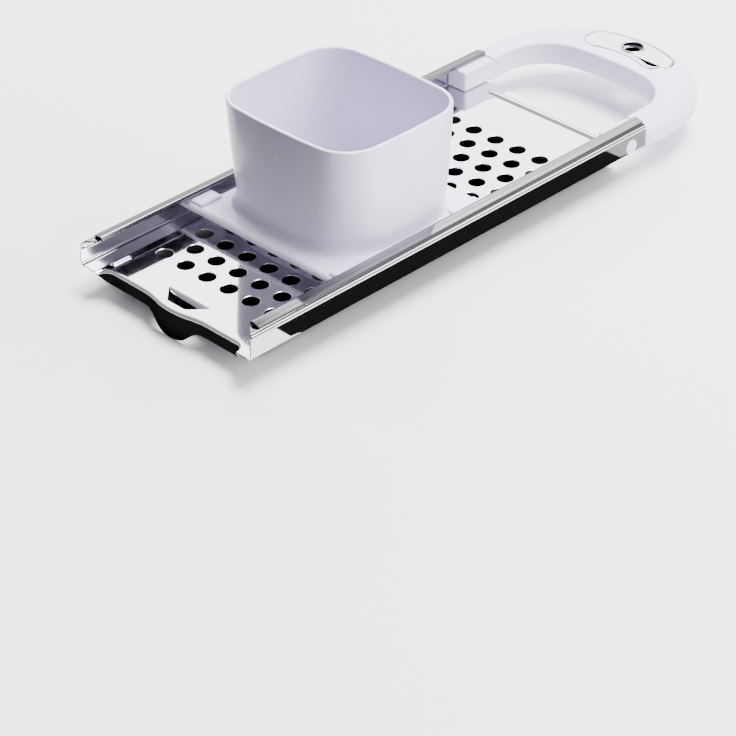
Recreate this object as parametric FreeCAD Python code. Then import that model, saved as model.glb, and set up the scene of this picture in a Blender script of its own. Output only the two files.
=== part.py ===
"""Spaetzle maker: a perforated channel plate, the hopper that slides in it and a bow handle.

Frame: millimetres, X across, Y along the rails towards the handle, Z up.
The origin lies on the underside of the plate's floor, in its front row of holes.
"""

import FreeCAD
import Part

import math
import os

# ---- sheet ----------------------------------------------------------------------------------
SHEET = 0.6                 # thickness of the steel
PLATE_HALF = 55.0           # half of the width over the side walls
FRONT = -31.0               # front edge of the flat corners
RAIL_REAR = 220.6           # square cut of both rails
FLOOR_SETBACK = 3.6         # from there to the rear edge of the floor
FLOOR_BEND = 2.0            # outer radius between floor and wall
WALL_TOP = 10.0             # height at which the wall starts to bend inwards
FLANGE_BEND = 2.3           # outer radius between wall and flange
FLANGE_RUN = 3.95           # flat part of the flange
HEM_OUTER = 1.2             # outer radius of the open hem
HEM_SLOPE = 12.6            # degrees by which the folded strip falls towards the wall
STRIP_RUN = 4.05            # flat part of the folded strip
STRIP_SETBACK = 6.6         # from the front to the strip's square end
WALL_BULGE = 0.6            # how far the wall's front edge swells at mid height
WALL_LEAN = 0.5             # how far that edge falls back at the flange

# ---- perforation ----------------------------------------------------------------------------
HOLE_RADIUS = 3.95
HOLE_PITCH = 14.0           # across
ROW_PITCH = 11.78           # along
ROWS = 16
WIDE_ROW = 6                # holes in the first row; the next row has one fewer

# ---- front lip ------------------------------------------------------------------------------
LIP_SETBACK = 4.9           # from the front to the lip's outer face, beside the swelling
CORNER_WIDTH = 10.6         # of the flat corners beside the lip
LIP_BOTTOM = -6.5
LIP_BEND = 1.7              # outer radius of the fold
SWELL_HALF = 22.0           # half width of the swelling around the tongue
SWELL = 2.7                 # how far it swells forwards
TONGUE_HALF = 17.5          # where the tongue's outline leaves the lip's edge
TONGUE_SHOULDER = 12.5
TONGUE_CHEEK = 8.4
TONGUE_TIP = -13.9

# ---- lanced slot and tab --------------------------------------------------------------------
SLOT_SETBACK = 6.6          # from the front to the slot
SLOT_LENGTH = 9.2           # back to where the tab's bend starts
SLOT_REAR_HALF = 14.5
SLOT_FRONT_HALF = 5.6
SLOT_CORNER = 1.5
TAB_BEND = 3.2              # outer radius
TAB_RUN = 4.6               # straight part below the bend

# ---- pressed ribs ---------------------------------------------------------------------------
RIB_INSET = 10.8            # from the wall
RIB_SETBACK = 8.0           # from the front
RIB_LENGTH = 11.5
RIB_WIDTH = 3.2
RIB_RISE = 0.8
BEAD_SETBACK = 7.0          # from the floor's rear edge
BEAD_INSET = 19.0           # from the wall
BEAD_WIDTH = 5.0
BEAD_RISE = 1.1

# ---- hopper ---------------------------------------------------------------------------------
CUP_TOP = 62.4
CUP_TOP_A = 44.1            # half width across at the rim
CUP_TOP_B = 38.95           # half width along at the rim
CUP_TOP_BULGE = 347.0       # radius of its four sides
CUP_TOP_CORNER = 18.8
CUP_DRAW_A = 1.6            # by which the foot is narrower than the rim, across
CUP_DRAW_B = 1.0            # the same along
CUP_FOOT_BULGE = 200.0
CUP_FOOT_CORNER = 22.7
CUP_CURVE = 1.25            # how the wall draws in towards the foot
CUP_WALL = 1.9
CUP_LIP = 0.8               # rounding of the rim
CUP_STEPS = 4
FLARE_RADIUS = 6.0          # of the hollow curve from the wall out to the base, before and behind
FLARE_TURN = 80.0           # degrees of that curve
FLARE_SIDE = 0.15           # share of it that is left at the sides
FLARE_STEPS = 4
BASE_FRONT = 26.0           # where the hopper stands at rest
FRONT_LEDGE = 9.95          # by which the base stands out before the cup's rim
REAR_LEDGE = 5.85           # the same behind it
BASE_DEPTH = 3.2            # over the rim round its underside
BASE_WALL = 2.0
BASE_RIM = 1.8
BASE_EDGE = 2.3             # rounding of the front and rear top edges
FRONT_WING = 14.5           # length of the full width before the cup
REAR_WING = 19.2            # the same behind it
WAIST_LEDGE = 1.0           # of the base beside the cup
WING_CORNER = 1.0           # rounding of the inner corners
PAD_RISE = 1.5              # of the guide pads above the base
PAD_WIDTH = 13.6
PAD_SETBACK = 1.6           # from the base's ends
PAD_ROUND = 1.3

# ---- handle ---------------------------------------------------------------------------------
BOW_TOP = 12.2
PARTING = 5.5
LEG_WIDTH = 11.9
LEG_LENGTH = 20.0           # inside the channel
LEG_TOP = 11.4
LEG_CHAMFER = 1.5
BOW_LENGTH = 69.9           # behind the rails
BOW_OVERHANG = 1.6          # how far its flanks stand out past the walls
GRIP_WIDTH = 32.0           # of the bow at the rear middle
OUTER_REAR_ANGLE = 22.2     # degrees turned by the outer outline's rear arc
OUTER_CORNER_RADIUS = 46.2
OUTER_CORNER_ANGLE = 47.5
OUTER_FLANK_RADIUS = 68.6   # of the last arc, which runs on to the rail
INNER_REAR_RADIUS = 157.5
INNER_REAR_ANGLE = 7.7
OUTER_TOP_ROUND = 6.4
INNER_TOP_ROUND = 1.3
BOTTOM_ROUND = 1.6
SHELL_WALL = 2.2
ROOT_LENGTH = 7.0           # how far a leg's root reaches into the bow
LOCATOR_RADIUS = 1.5
LOCATOR_BOSS = 3.0
LOCATOR_RISE = 2.5
LOCATOR_ANGLES = (45.0, 79.0)   # the outer outline's headings beside the pins of one half
LOCATOR_INSETS = (11.0, 8.0)    # of the pins from that outline

# ---- badge and eyelet -----------------------------------------------------------------------
BADGE_SETBACK = 14.5        # from the bow's rear
BADGE_RADIUS = 50.0         # curvature of its middle line
BADGE_HALF = 26.2
BADGE_WIDTH = 17.2
BADGE_RECESS = 1.0
BADGE_RISE = 0.5            # how far it stands above the bow
BADGE_BEVEL = 0.5
EYELET_SETBACK = 14.9       # from the bow's rear
EYELET_BORE = 4.1
EYELET_TUBE = 5.0
EYELET_HEAD = 6.2
EYELET_RECESS = 5.3         # radius of the stepped mouth
EYELET_RISE = 0.5           # above the badge
EYELET_DEPTH = 2.4          # of the mouth
EYELET_ROUND = 0.35

# ---- retaining pegs -------------------------------------------------------------------------
PEG_SETBACK = 10.1          # from the rails' rear ends
PEG_Z = 4.3
PEG_HEAD = 3.6
PEG_PROUD = 0.3
PEG_SHANK = 2.3
PEG_DEPTH = 8.8
PEG_ROUND = 0.25

# ---- clearances -----------------------------------------------------------------------------
FIT = 0.05                  # radial, between pieces that are pushed together
SLIDE = 0.3                 # between the hopper and the rails
RIDE = 0.2                  # between the cup's foot and the floor
OVER = 1.0                  # how far a cutter runs past the face it cuts

# ---- derived --------------------------------------------------------------------------------
WALL_IN = PLATE_HALF - SHEET
FLOOR_REAR = RAIL_REAR - FLOOR_SETBACK
STRIP_FRONT = FRONT + STRIP_SETBACK
LIP_Y = FRONT + LIP_SETBACK
LIP_HALF = PLATE_HALF - CORNER_WIDTH
SLOT_FRONT = FRONT + SLOT_SETBACK
SLOT_REAR = SLOT_FRONT + SLOT_LENGTH
RIB_X = PLATE_HALF - RIB_INSET
RIB_FRONT = FRONT + RIB_SETBACK
RIB_REAR = RIB_FRONT + RIB_LENGTH
BEAD_Y = FLOOR_REAR - BEAD_SETBACK
BEAD_HALF = PLATE_HALF - BEAD_INSET
FLANGE_TOP = WALL_TOP + FLANGE_BEND
FLANGE_UNDER = FLANGE_TOP - SHEET
HEM_X = PLATE_HALF - FLANGE_BEND - FLANGE_RUN
HEM_INNER = HEM_X - HEM_OUTER
HEM_TOP = FLANGE_UNDER + HEM_OUTER + HEM_OUTER
TAB_FACE = SLOT_REAR - TAB_BEND
TAB_TIP = SHEET - TAB_BEND - TAB_RUN
HEADROOM = HEM_TOP + OVER
SKIRT_BOTTOM = SHEET + RIDE
PAD_TOP = FLANGE_UNDER - SLIDE
BASE_TOP = PAD_TOP - PAD_RISE
BASE_BOTTOM = BASE_TOP - BASE_DEPTH
BASE_HALF = WALL_IN - SLIDE
CUP_Y = BASE_FRONT + FRONT_LEDGE + CUP_TOP_B
BASE_REAR = CUP_Y + CUP_TOP_B + REAR_LEDGE
WAIST_HALF = CUP_TOP_A - CUP_DRAW_A + WAIST_LEDGE
LEG_INNER = WALL_IN - LEG_WIDTH
LEG_FRONT = RAIL_REAR - LEG_LENGTH
BOW_FRONT = RAIL_REAR + FIT
BOW_REAR = RAIL_REAR + BOW_LENGTH
GRIP_REAR = BOW_REAR - GRIP_WIDTH
BADGE_Y = BOW_REAR - BADGE_SETBACK
EYELET_Y = BOW_REAR - EYELET_SETBACK
PEG_Y = RAIL_REAR - PEG_SETBACK
BADGE_TOP = BOW_TOP + BADGE_RISE
EYELET_TOP = BADGE_TOP + EYELET_RISE

QUARTER = 90.0
HALF_TURN = 180.0
ORIGIN = FreeCAD.Vector(0, 0, 0)
AXIS_X = FreeCAD.Vector(1, 0, 0)
AXIS_Y = FreeCAD.Vector(0, 1, 0)
AXIS_Z = FreeCAD.Vector(0, 0, 1)


# ---- small helpers --------------------------------------------------------------------------
def at(x, y, z):
    """Point in the part's frame."""
    return FreeCAD.Vector(x, y, z)


def block(x_span, y_span, z_span):
    """Box between two values on each axis."""
    size = [high - low for low, high in (x_span, y_span, z_span)]
    return Part.makeBox(*size, at(x_span[0], y_span[0], z_span[0]))


def upright(radius, bottom, top, point):
    """Upright cylinder between two heights at a point in plan."""
    return Part.makeCylinder(radius, top - bottom, at(point.x, point.y, bottom))


def both_sides(shape):
    """The shape and its mirror image across the middle plane."""
    return [shape, shape.mirror(ORIGIN, AXIS_X)]


def joined(shapes):
    """One solid out of pieces that touch or overlap."""
    first, rest = shapes[0], shapes[1:]
    return first.fuse(rest).removeSplitter()


def less(shape, cutters):
    """The shape without its cutters."""
    return shape.cut(cutters)


def arc(start, middle, end):
    """Edge of a circle through three points."""
    return Part.Arc(start, middle, end).toShape()


def line(start, end):
    """Straight edge."""
    return Part.makeLine(start, end)


def spline(points, start_tangent, end_tangent):
    """Smooth edge through the points with the given end tangents."""
    curve = Part.BSplineCurve()
    curve.interpolate(Points=points, InitialTangent=start_tangent, FinalTangent=end_tangent)
    return curve.toShape()


def face_of(edges):
    """Flat face inside a closed run of edges."""
    return Part.Face(Part.Wire(Part.__sortEdges__(edges)))


def plate_of(points):
    """Flat face inside a polygon."""
    return Part.Face(Part.makePolygon(points + points[:1]))


def rounded(shape, radius, wanted):
    """The shape with a fillet on each edge that the test picks."""
    edges = [edge for edge in shape.Edges if wanted(edge)]
    return shape.makeFillet(radius, edges)


def middle_of(edge):
    """Point half way along an edge."""
    return edge.valueAt((edge.FirstParameter + edge.LastParameter) / 2)


def level(edge, height):
    """Whether an edge lies flat at a height."""
    bounds = edge.BoundBox
    return math.isclose(bounds.ZMin, height, abs_tol=FIT) and math.isclose(bounds.ZMax, height, abs_tol=FIT)


def bulged_square(half_x, half_y, bulge, corner, middle):
    """Closed wire about a point: four shallow arcs of one radius joined by tangent corner arcs."""
    end_centre = at(0, half_y - bulge, 0)
    side_centre = at(half_x - bulge, 0, 0)
    halfway = (side_centre - end_centre) / 2
    lift = math.sqrt((bulge - corner) ** 2 - halfway.Length ** 2)
    outwards = at(halfway.y, -halfway.x, 0) * (lift / halfway.Length)
    corner_centre = (end_centre + side_centre) / 2 + outwards
    end_touch = end_centre + (corner_centre - end_centre).normalize() * bulge
    side_touch = side_centre + (corner_centre - side_centre).normalize() * bulge
    chord_middle = (end_touch + side_touch) / 2
    corner_middle = corner_centre + (chord_middle - corner_centre).normalize() * corner

    quarter = [end_touch, corner_middle, side_touch]
    turns = ((at(0, half_y, 0), 1, 1, 1), (at(half_x, 0, 0), 1, -1, -1),
             (at(0, -half_y, 0), -1, -1, 1), (at(-half_x, 0, 0), -1, 1, -1))
    ring = []
    for pole, sign_x, sign_y, step in turns:
        ring.append(middle + pole)
        ring += [middle + at(sign_x * point.x, sign_y * point.y, 0) for point in quarter[::step]]
    return Part.Wire([arc(ring[index - 1], ring[index], ring[index + 1]) for index in range(0, len(ring), 2)])


# ---- bent sheet -----------------------------------------------------------------------------
class BentSheet:
    """Section of a bent sheet, drawn along its middle line by runs and bends in one plane."""

    def __init__(self, start, heading, place):
        self.position = start
        self.heading = math.radians(heading)
        self.place = place
        self.sides = {1: [], -1: []}
        self.ends = [self._across()]

    def _offset(self, side, amount):
        """Point beside the middle line, to its left for side 1."""
        normal = self.heading + side * math.pi / 2
        x, y = self.position
        return (x + amount * math.cos(normal), y + amount * math.sin(normal))

    def _across(self):
        """The two points of a cut through the sheet."""
        return [self.place(*self._offset(side, SHEET / 2)) for side in (1, -1)]

    def run(self, length):
        """Carry the sheet straight on."""
        starts = self._across()
        x, y = self.position
        self.position = (x + length * math.cos(self.heading), y + length * math.sin(self.heading))
        for side, start, end in zip((1, -1), starts, self._across()):
            self.sides[side].append(line(start, end))
        return self

    def bend(self, radius, degrees):
        """Turn the sheet about a point at the radius from its middle line; left is positive."""
        turn = math.radians(degrees)
        side = math.copysign(1, turn)
        centre = self._offset(side, radius)
        begin = self.heading - side * math.pi / 2
        for flank in (1, -1):
            reach = radius - flank * side * SHEET / 2
            angles = (begin, begin + turn / 2, begin + turn)
            points = [self.place(centre[0] + reach * math.cos(a), centre[1] + reach * math.sin(a))
                      for a in angles]
            self.sides[flank].append(arc(*points))
        self.position = (centre[0] + radius * math.cos(begin + turn),
                         centre[1] + radius * math.sin(begin + turn))
        self.heading += turn
        return self

    def face(self):
        """Closed face of the section."""
        caps = [line(*self.ends[0]), line(*self._across())]
        return face_of(self.sides[1] + self.sides[-1] + caps)


# ---- plate ----------------------------------------------------------------------------------
def channel():
    """Floor, walls, flanges and open hems, folded from one strip and not yet trimmed."""
    start_y = FRONT - WALL_BULGE
    section = BentSheet((0, SHEET / 2), 0, lambda x, z: at(x, start_y, z))
    section.run(PLATE_HALF - FLOOR_BEND)
    section.bend(FLOOR_BEND - SHEET / 2, QUARTER)
    section.run(WALL_TOP - FLOOR_BEND)
    section.bend(FLANGE_BEND - SHEET / 2, QUARTER)
    section.run(FLANGE_RUN)
    section.bend(HEM_OUTER - SHEET / 2, -HALF_TURN - HEM_SLOPE)
    section.run(STRIP_RUN)
    half = section.face().extrude(AXIS_Y * (RAIL_REAR - start_y))
    return joined(both_sides(half))


def fold_line(inset):
    """Edges of the lip's line in plan, moved back into the floor by the inset."""
    end_radius = LIP_Y - FRONT
    end_x = LIP_HALF - end_radius
    swell_radius = (SWELL_HALF ** 2 + SWELL ** 2) / (4 * SWELL)
    lean = math.asin(SWELL_HALF / 2 / swell_radius)

    def on(centre_x, centre_y, radius, angle):
        return at(centre_x + radius * math.cos(angle), centre_y + radius * math.sin(angle), 0)

    def turn(centre_x, centre_y, radius, first, last):
        angles = (first, (first + last) / 2, last)
        return arc(*[on(centre_x, centre_y, radius, angle) for angle in angles])

    up = math.pi / 2
    ahead = LIP_Y - swell_radius
    behind = LIP_Y - SWELL + swell_radius
    left = [
        turn(-end_x, FRONT, end_radius + inset, math.pi, up),
        line(at(-end_x, LIP_Y + inset, 0), at(-SWELL_HALF, LIP_Y + inset, 0)),
        turn(-SWELL_HALF, ahead, swell_radius + inset, up, up - lean),
    ]
    right = [edge.mirror(ORIGIN, AXIS_X) for edge in left]
    middle = turn(0, behind, swell_radius - inset, -up - lean, -up + lean)
    return left + [middle] + right


def lip_underline():
    """Edges of the lip's lower outline seen from the front, tongue included, at y = 0."""
    start = at(-LIP_HALF - OVER, 0, -SHEET)
    corner = at(-LIP_HALF, 0, -SHEET)
    knee = at(-LIP_HALF + OVER, 0, LIP_BOTTOM + LIP_BEND + SHEET)
    edge = at(-LIP_HALF - LIP_Y + FRONT + 2 * (LIP_Y - FRONT), 0, LIP_BOTTOM)
    root = at(-TONGUE_HALF, 0, LIP_BOTTOM)
    depth = TONGUE_TIP - LIP_BOTTOM
    points = [root, at(-TONGUE_SHOULDER, 0, LIP_BOTTOM + 0.28 * depth),
              at(-TONGUE_CHEEK, 0, LIP_BOTTOM + 0.74 * depth), at(0, 0, TONGUE_TIP)]
    left = [line(start, corner), arc(corner, knee, edge), line(edge, root)]
    tongue = spline(points, AXIS_X, AXIS_X)
    sides = left + [tongue]
    return sides + [side.mirror(ORIGIN, AXIS_X) for side in sides]


def with_lip(sheet):
    """The channel with its front edge cut to the fold line and the lip folded down."""
    ahead = FRONT - OVER
    deep = TONGUE_TIP - OVER
    open_ends = [line(at(-LIP_HALF, FRONT, 0), at(-LIP_HALF, ahead, 0)),
                 line(at(-LIP_HALF, ahead, 0), at(LIP_HALF, ahead, 0)),
                 line(at(LIP_HALF, ahead, 0), at(LIP_HALF, FRONT, 0))]
    void = face_of(fold_line(0) + open_ends)
    void.translate(AXIS_Z * -OVER)
    void = void.extrude(AXIS_Z * (SHEET + 2 * OVER))
    back = LIP_HALF + SHEET
    caps = [line(at(-LIP_HALF, FRONT, 0), at(-back, FRONT, 0)),
            line(at(LIP_HALF, FRONT, 0), at(back, FRONT, 0))]
    wall = face_of(fold_line(0) + fold_line(SHEET) + caps)
    wall.translate(AXIS_Z * SHEET)
    wall = wall.extrude(AXIS_Z * (deep - SHEET))
    corner = block((-PLATE_HALF - OVER, PLATE_HALF + OVER), (FRONT - 2 * OVER, FRONT), (-OVER, SHEET))
    folded = joined([less(sheet, [void, corner]), wall])

    def near_fold(edge, inset, height):
        point = middle_of(edge)
        inside = abs(point.x) < LIP_HALF + SHEET and point.y < LIP_Y + 2 * SHEET
        if not (level(edge, height) and inside):
            return False
        line_of = Part.Wire(Part.__sortEdges__(fold_line(inset)))
        flat = at(point.x, point.y, 0)
        return line_of.distToShape(Part.Vertex(flat))[0] < FIT

    folded = rounded(folded, LIP_BEND - SHEET, lambda edge: near_fold(edge, SHEET, 0))
    folded = rounded(folded, LIP_BEND, lambda edge: near_fold(edge, 0, SHEET))
    low = deep - OVER
    side = LIP_HALF + OVER
    closing = [line(at(-side, 0, -SHEET), at(-side, 0, low)),
               line(at(-side, 0, low), at(side, 0, low)),
               line(at(side, 0, low), at(side, 0, -SHEET))]
    below = face_of(lip_underline() + closing)
    below.translate(AXIS_Y * ahead)
    below = below.extrude(AXIS_Y * (RIB_REAR - ahead))
    return less(folded, [below])


def rail_trims():
    """Cutters for the front and rear ends of walls, flanges and hems, right side first."""
    outside = PLATE_HALF + OVER
    inside = HEM_INNER - OVER
    ahead = FRONT - 2 * OVER
    mid = WALL_TOP / 2
    top = at(0, FRONT + WALL_LEAN, FLANGE_TOP)
    nose = arc(at(0, FRONT, 0), at(0, FRONT - WALL_BULGE, mid), top)
    rim = [line(at(0, FRONT, 0), at(0, ahead, 0)), line(at(0, ahead, 0), at(0, ahead, FLANGE_TOP)),
           line(at(0, ahead, FLANGE_TOP), top)]
    wall_end = face_of([nose] + rim)
    wall_end.translate(AXIS_X * inside)
    wall_end = wall_end.extrude(AXIS_X * (outside - inside))
    begin = at(PLATE_HALF, FRONT + WALL_LEAN, WALL_TOP)
    end = at(HEM_INNER, STRIP_FRONT, WALL_TOP)
    bow = (begin + end) / 2 + at(SHEET, -SHEET, 0)
    sweep = [arc(begin, bow, end), line(end, at(inside, STRIP_FRONT, WALL_TOP)),
             line(at(inside, STRIP_FRONT, WALL_TOP), at(inside, ahead, WALL_TOP)),
             line(at(inside, ahead, WALL_TOP), at(outside, ahead, WALL_TOP)),
             line(at(outside, ahead, WALL_TOP), at(outside, FRONT + WALL_LEAN, WALL_TOP)),
             line(at(outside, FRONT + WALL_LEAN, WALL_TOP), begin)]
    flange_end = face_of(sweep).extrude(AXIS_Z * (HEADROOM - WALL_TOP))
    strip_end = block((inside, outside), (ahead, STRIP_FRONT), (FLANGE_TOP + FIT, HEADROOM))
    cutters = []
    for cutter in (wall_end, flange_end, strip_end):
        cutters += both_sides(cutter)
    reach = PLATE_HALF - FLOOR_BEND
    cutters.append(block((-reach, reach), (FLOOR_REAR, RAIL_REAR + OVER), (-OVER, OVER)))
    return cutters


def perforation():
    """Cutters for all holes of the floor."""
    cutters = []
    for row in range(ROWS):
        count = WIDE_ROW - row % 2
        for place in range(count):
            x = (place - (count - 1) / 2) * HOLE_PITCH
            corner = at(x, row * ROW_PITCH, -OVER)
            cutters.append(Part.makeCylinder(HOLE_RADIUS, SHEET + 2 * OVER, corner))
    return cutters


def capsule(start, end, radius):
    """Round bar between two points, with ball ends."""
    along = end - start
    bar = Part.makeCylinder(radius, along.Length, start, along)
    return joined([bar, Part.makeSphere(radius, start), Part.makeSphere(radius, end)])


def pressed_rib(start, end, width, rise):
    """What a straight rib adds above the floor, and what it takes from below."""
    radius = (width ** 2 / 4 + rise ** 2) / (2 * rise)
    inset = (end - start).normalize() * (width / 2)
    sink = AXIS_Z * (SHEET + rise - radius)
    first = start + inset + sink
    last = end - inset + sink
    reach = 2 * max(abs(start.y), abs(end.y)) + PLATE_HALF
    above = block((-reach, reach), (-reach, reach), (SHEET / 2, SHEET + rise + OVER))
    crown = capsule(first, last, radius).common(above)
    hollow = capsule(first, last, radius - SHEET)
    return crown, hollow


def ribs():
    """The two front ribs and the stiffening bead as pairs of crown and hollow."""
    rib = pressed_rib(at(RIB_X, RIB_FRONT, 0), at(RIB_X, RIB_REAR, 0), RIB_WIDTH, RIB_RISE)
    bead = pressed_rib(at(-BEAD_HALF, BEAD_Y, 0), at(BEAD_HALF, BEAD_Y, 0), BEAD_WIDTH, BEAD_RISE)
    pairs = [bead, rib]
    pairs.append(tuple(shape.mirror(ORIGIN, AXIS_X) for shape in rib))
    return pairs


def slot_cutter():
    """Prism of the lanced slot, its front corners rounded."""
    corners = [at(-SLOT_REAR_HALF, SLOT_REAR, -OVER), at(-SLOT_FRONT_HALF, SLOT_FRONT, -OVER),
               at(SLOT_FRONT_HALF, SLOT_FRONT, -OVER), at(SLOT_REAR_HALF, SLOT_REAR, -OVER)]
    prism = plate_of(corners).extrude(AXIS_Z * (SHEET + 2 * OVER))

    def front_corner(edge):
        bounds = edge.BoundBox
        return bounds.ZLength > OVER and math.isclose(bounds.YMax, SLOT_FRONT, abs_tol=FIT)

    return rounded(prism, SLOT_CORNER, front_corner)


def tab():
    """The tongue of sheet that is pushed down out of the slot."""
    section = BentSheet((SLOT_REAR, SHEET / 2), HALF_TURN, lambda y, z: at(-SLOT_REAR_HALF, y, z))
    section.bend(TAB_BEND - SHEET / 2, QUARTER)
    section.run(TAB_RUN)
    strip = section.face().extrude(AXIS_X * 2 * SLOT_REAR_HALF)
    slope = (SLOT_REAR_HALF - SLOT_FRONT_HALF) / (SLOT_REAR - SLOT_FRONT)
    neck = SLOT_REAR_HALF - slope * TAB_BEND
    shoulder = SHEET - TAB_BEND
    plan = [at(-SLOT_REAR_HALF, SLOT_REAR, 0), at(-neck, TAB_FACE, 0),
            at(neck, TAB_FACE, 0), at(SLOT_REAR_HALF, SLOT_REAR, 0)]
    front = [at(-SLOT_REAR_HALF, 0, SHEET), at(-neck, 0, shoulder), at(-SLOT_FRONT_HALF, 0, TAB_TIP),
             at(SLOT_FRONT_HALF, 0, TAB_TIP), at(neck, 0, shoulder), at(SLOT_REAR_HALF, 0, SHEET)]
    plan_face = plate_of(plan)
    plan_face.translate(AXIS_Z * (TAB_TIP - OVER))
    plan_prism = plan_face.extrude(AXIS_Z * (SHEET + 2 * OVER - TAB_TIP))
    front_face = plate_of(front)
    front_face.translate(AXIS_Y * (TAB_FACE - OVER))
    front_prism = front_face.extrude(AXIS_Y * (TAB_BEND + 2 * OVER))

    def tip_corner(edge):
        bounds = edge.BoundBox
        return bounds.YLength > SHEET and math.isclose(bounds.ZMax, TAB_TIP, abs_tol=FIT)

    front_prism = rounded(front_prism, SLOT_CORNER, tip_corner)
    return strip.common(plan_prism).common(front_prism)


def peg_hole():
    """Cutter for a peg's hole in the right wall."""
    return Part.makeCylinder(PEG_HEAD + FIT, SHEET + 2 * OVER, at(WALL_IN - OVER, PEG_Y, PEG_Z), AXIS_X)


def grater_plate():
    """The whole pressed plate."""
    plate = with_lip(channel())
    plate = less(plate, rail_trims())
    plate = less(plate, perforation() + [slot_cutter()] + both_sides(peg_hole()))
    pairs = ribs()
    plate = joined([plate, tab()] + [crown for crown, hollow in pairs])
    return less(plate, [hollow for crown, hollow in pairs])


# ---- hopper ---------------------------------------------------------------------------------
def cup_outline(height, inset, flare=0):
    """Closed wire of the cup at a height, moved inwards by the inset and out by the flare."""
    share = max(0.0, min(1.0, (CUP_TOP - height) / (CUP_TOP - BASE_TOP))) ** CUP_CURVE
    half_x = CUP_TOP_A - CUP_DRAW_A * share - inset + flare * FLARE_SIDE
    half_y = CUP_TOP_B - CUP_DRAW_B * share - inset + flare
    bulge = CUP_TOP_BULGE + (CUP_FOOT_BULGE - CUP_TOP_BULGE) * share - inset + flare
    corner = CUP_TOP_CORNER + (CUP_FOOT_CORNER - CUP_TOP_CORNER) * share - inset + flare / 2
    return bulged_square(half_x, half_y, bulge, corner, at(0, CUP_Y, height))


def cup_body(bottom, top, inset):
    """Solid that fills the cup's outline between two heights."""
    span = top - bottom
    heights = [bottom + span * index / CUP_STEPS for index in range(CUP_STEPS + 1)]
    return Part.makeLoft([cup_outline(height, inset) for height in heights], True, False)


def cup_flare():
    """Hollow curve that carries the cup's front and rear walls out on to the base."""
    whole = math.radians(FLARE_TURN)
    start = BASE_TOP + FLARE_RADIUS * math.sin(whole)
    rings = []
    for index in range(FLARE_STEPS + 1):
        turn = whole * index / FLARE_STEPS
        height = start - FLARE_RADIUS * math.sin(turn)
        rings.append(cup_outline(height, 0, FLARE_RADIUS * (1 - math.cos(turn))))
    return Part.makeLoft(rings, True, False)


def base_face(inset, height):
    """Plan of the base, full width before and behind the cup, moved inwards by the inset."""
    wide = BASE_HALF - inset
    slim = WAIST_HALF - inset
    front_wing = BASE_FRONT + FRONT_WING - inset
    rear_wing = BASE_REAR - REAR_WING + inset
    right = [(wide, BASE_FRONT + inset), (wide, front_wing), (slim, front_wing),
             (slim, rear_wing), (wide, rear_wing), (wide, BASE_REAR - inset)]
    left = [(-x, y) for x, y in right[::-1]]
    return plate_of([at(x, y, height) for x, y in right + left])


def base_plate():
    """Base on four wings, its front and rear edges rolled, with a rim round the hollow underside."""
    base = base_face(0, BASE_BOTTOM).extrude(AXIS_Z * BASE_DEPTH)

    def inner_corner(edge):
        point = middle_of(edge)
        upright_edge = edge.BoundBox.ZLength > BASE_DEPTH / 2
        return upright_edge and abs(point.x) < WAIST_HALF + FIT

    def high_end(edge):
        bounds = edge.BoundBox
        end = min(bounds.YMin - BASE_FRONT, BASE_REAR - bounds.YMax) < FIT
        return bounds.XLength > BASE_HALF and level(edge, BASE_TOP) and end

    base = rounded(base, WING_CORNER, inner_corner)
    base = rounded(base, BASE_EDGE, high_end)
    hollow = base_face(BASE_RIM, BASE_BOTTOM - OVER).extrude(AXIS_Z * (OVER + BASE_DEPTH - BASE_WALL))
    return less(base, [hollow])


def pad(front, rear):
    """Guide pad on the right side that runs under the flange."""
    body = block((BASE_HALF - PAD_WIDTH, BASE_HALF), (front, rear), (BASE_TOP - BASE_WALL / 2, PAD_TOP))

    def free_edge(edge):
        return edge.BoundBox.ZMax > PAD_TOP - FIT

    return rounded(body, PAD_ROUND, free_edge)


def hopper():
    """Cup, base and guide pads in one moulding; the cup runs down to the floor and is open there."""
    pads = both_sides(pad(BASE_FRONT + PAD_SETBACK, BASE_FRONT + FRONT_WING))
    pads += both_sides(pad(BASE_REAR - REAR_WING, BASE_REAR - PAD_SETBACK))
    body = joined([base_plate(), cup_body(SKIRT_BOTTOM, CUP_TOP, 0), cup_flare()] + pads)
    cavity = cup_body(SKIRT_BOTTOM - OVER, CUP_TOP + OVER, CUP_WALL)
    body = less(body, [cavity])
    return rounded(body, CUP_LIP, lambda edge: level(edge, CUP_TOP))


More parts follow.
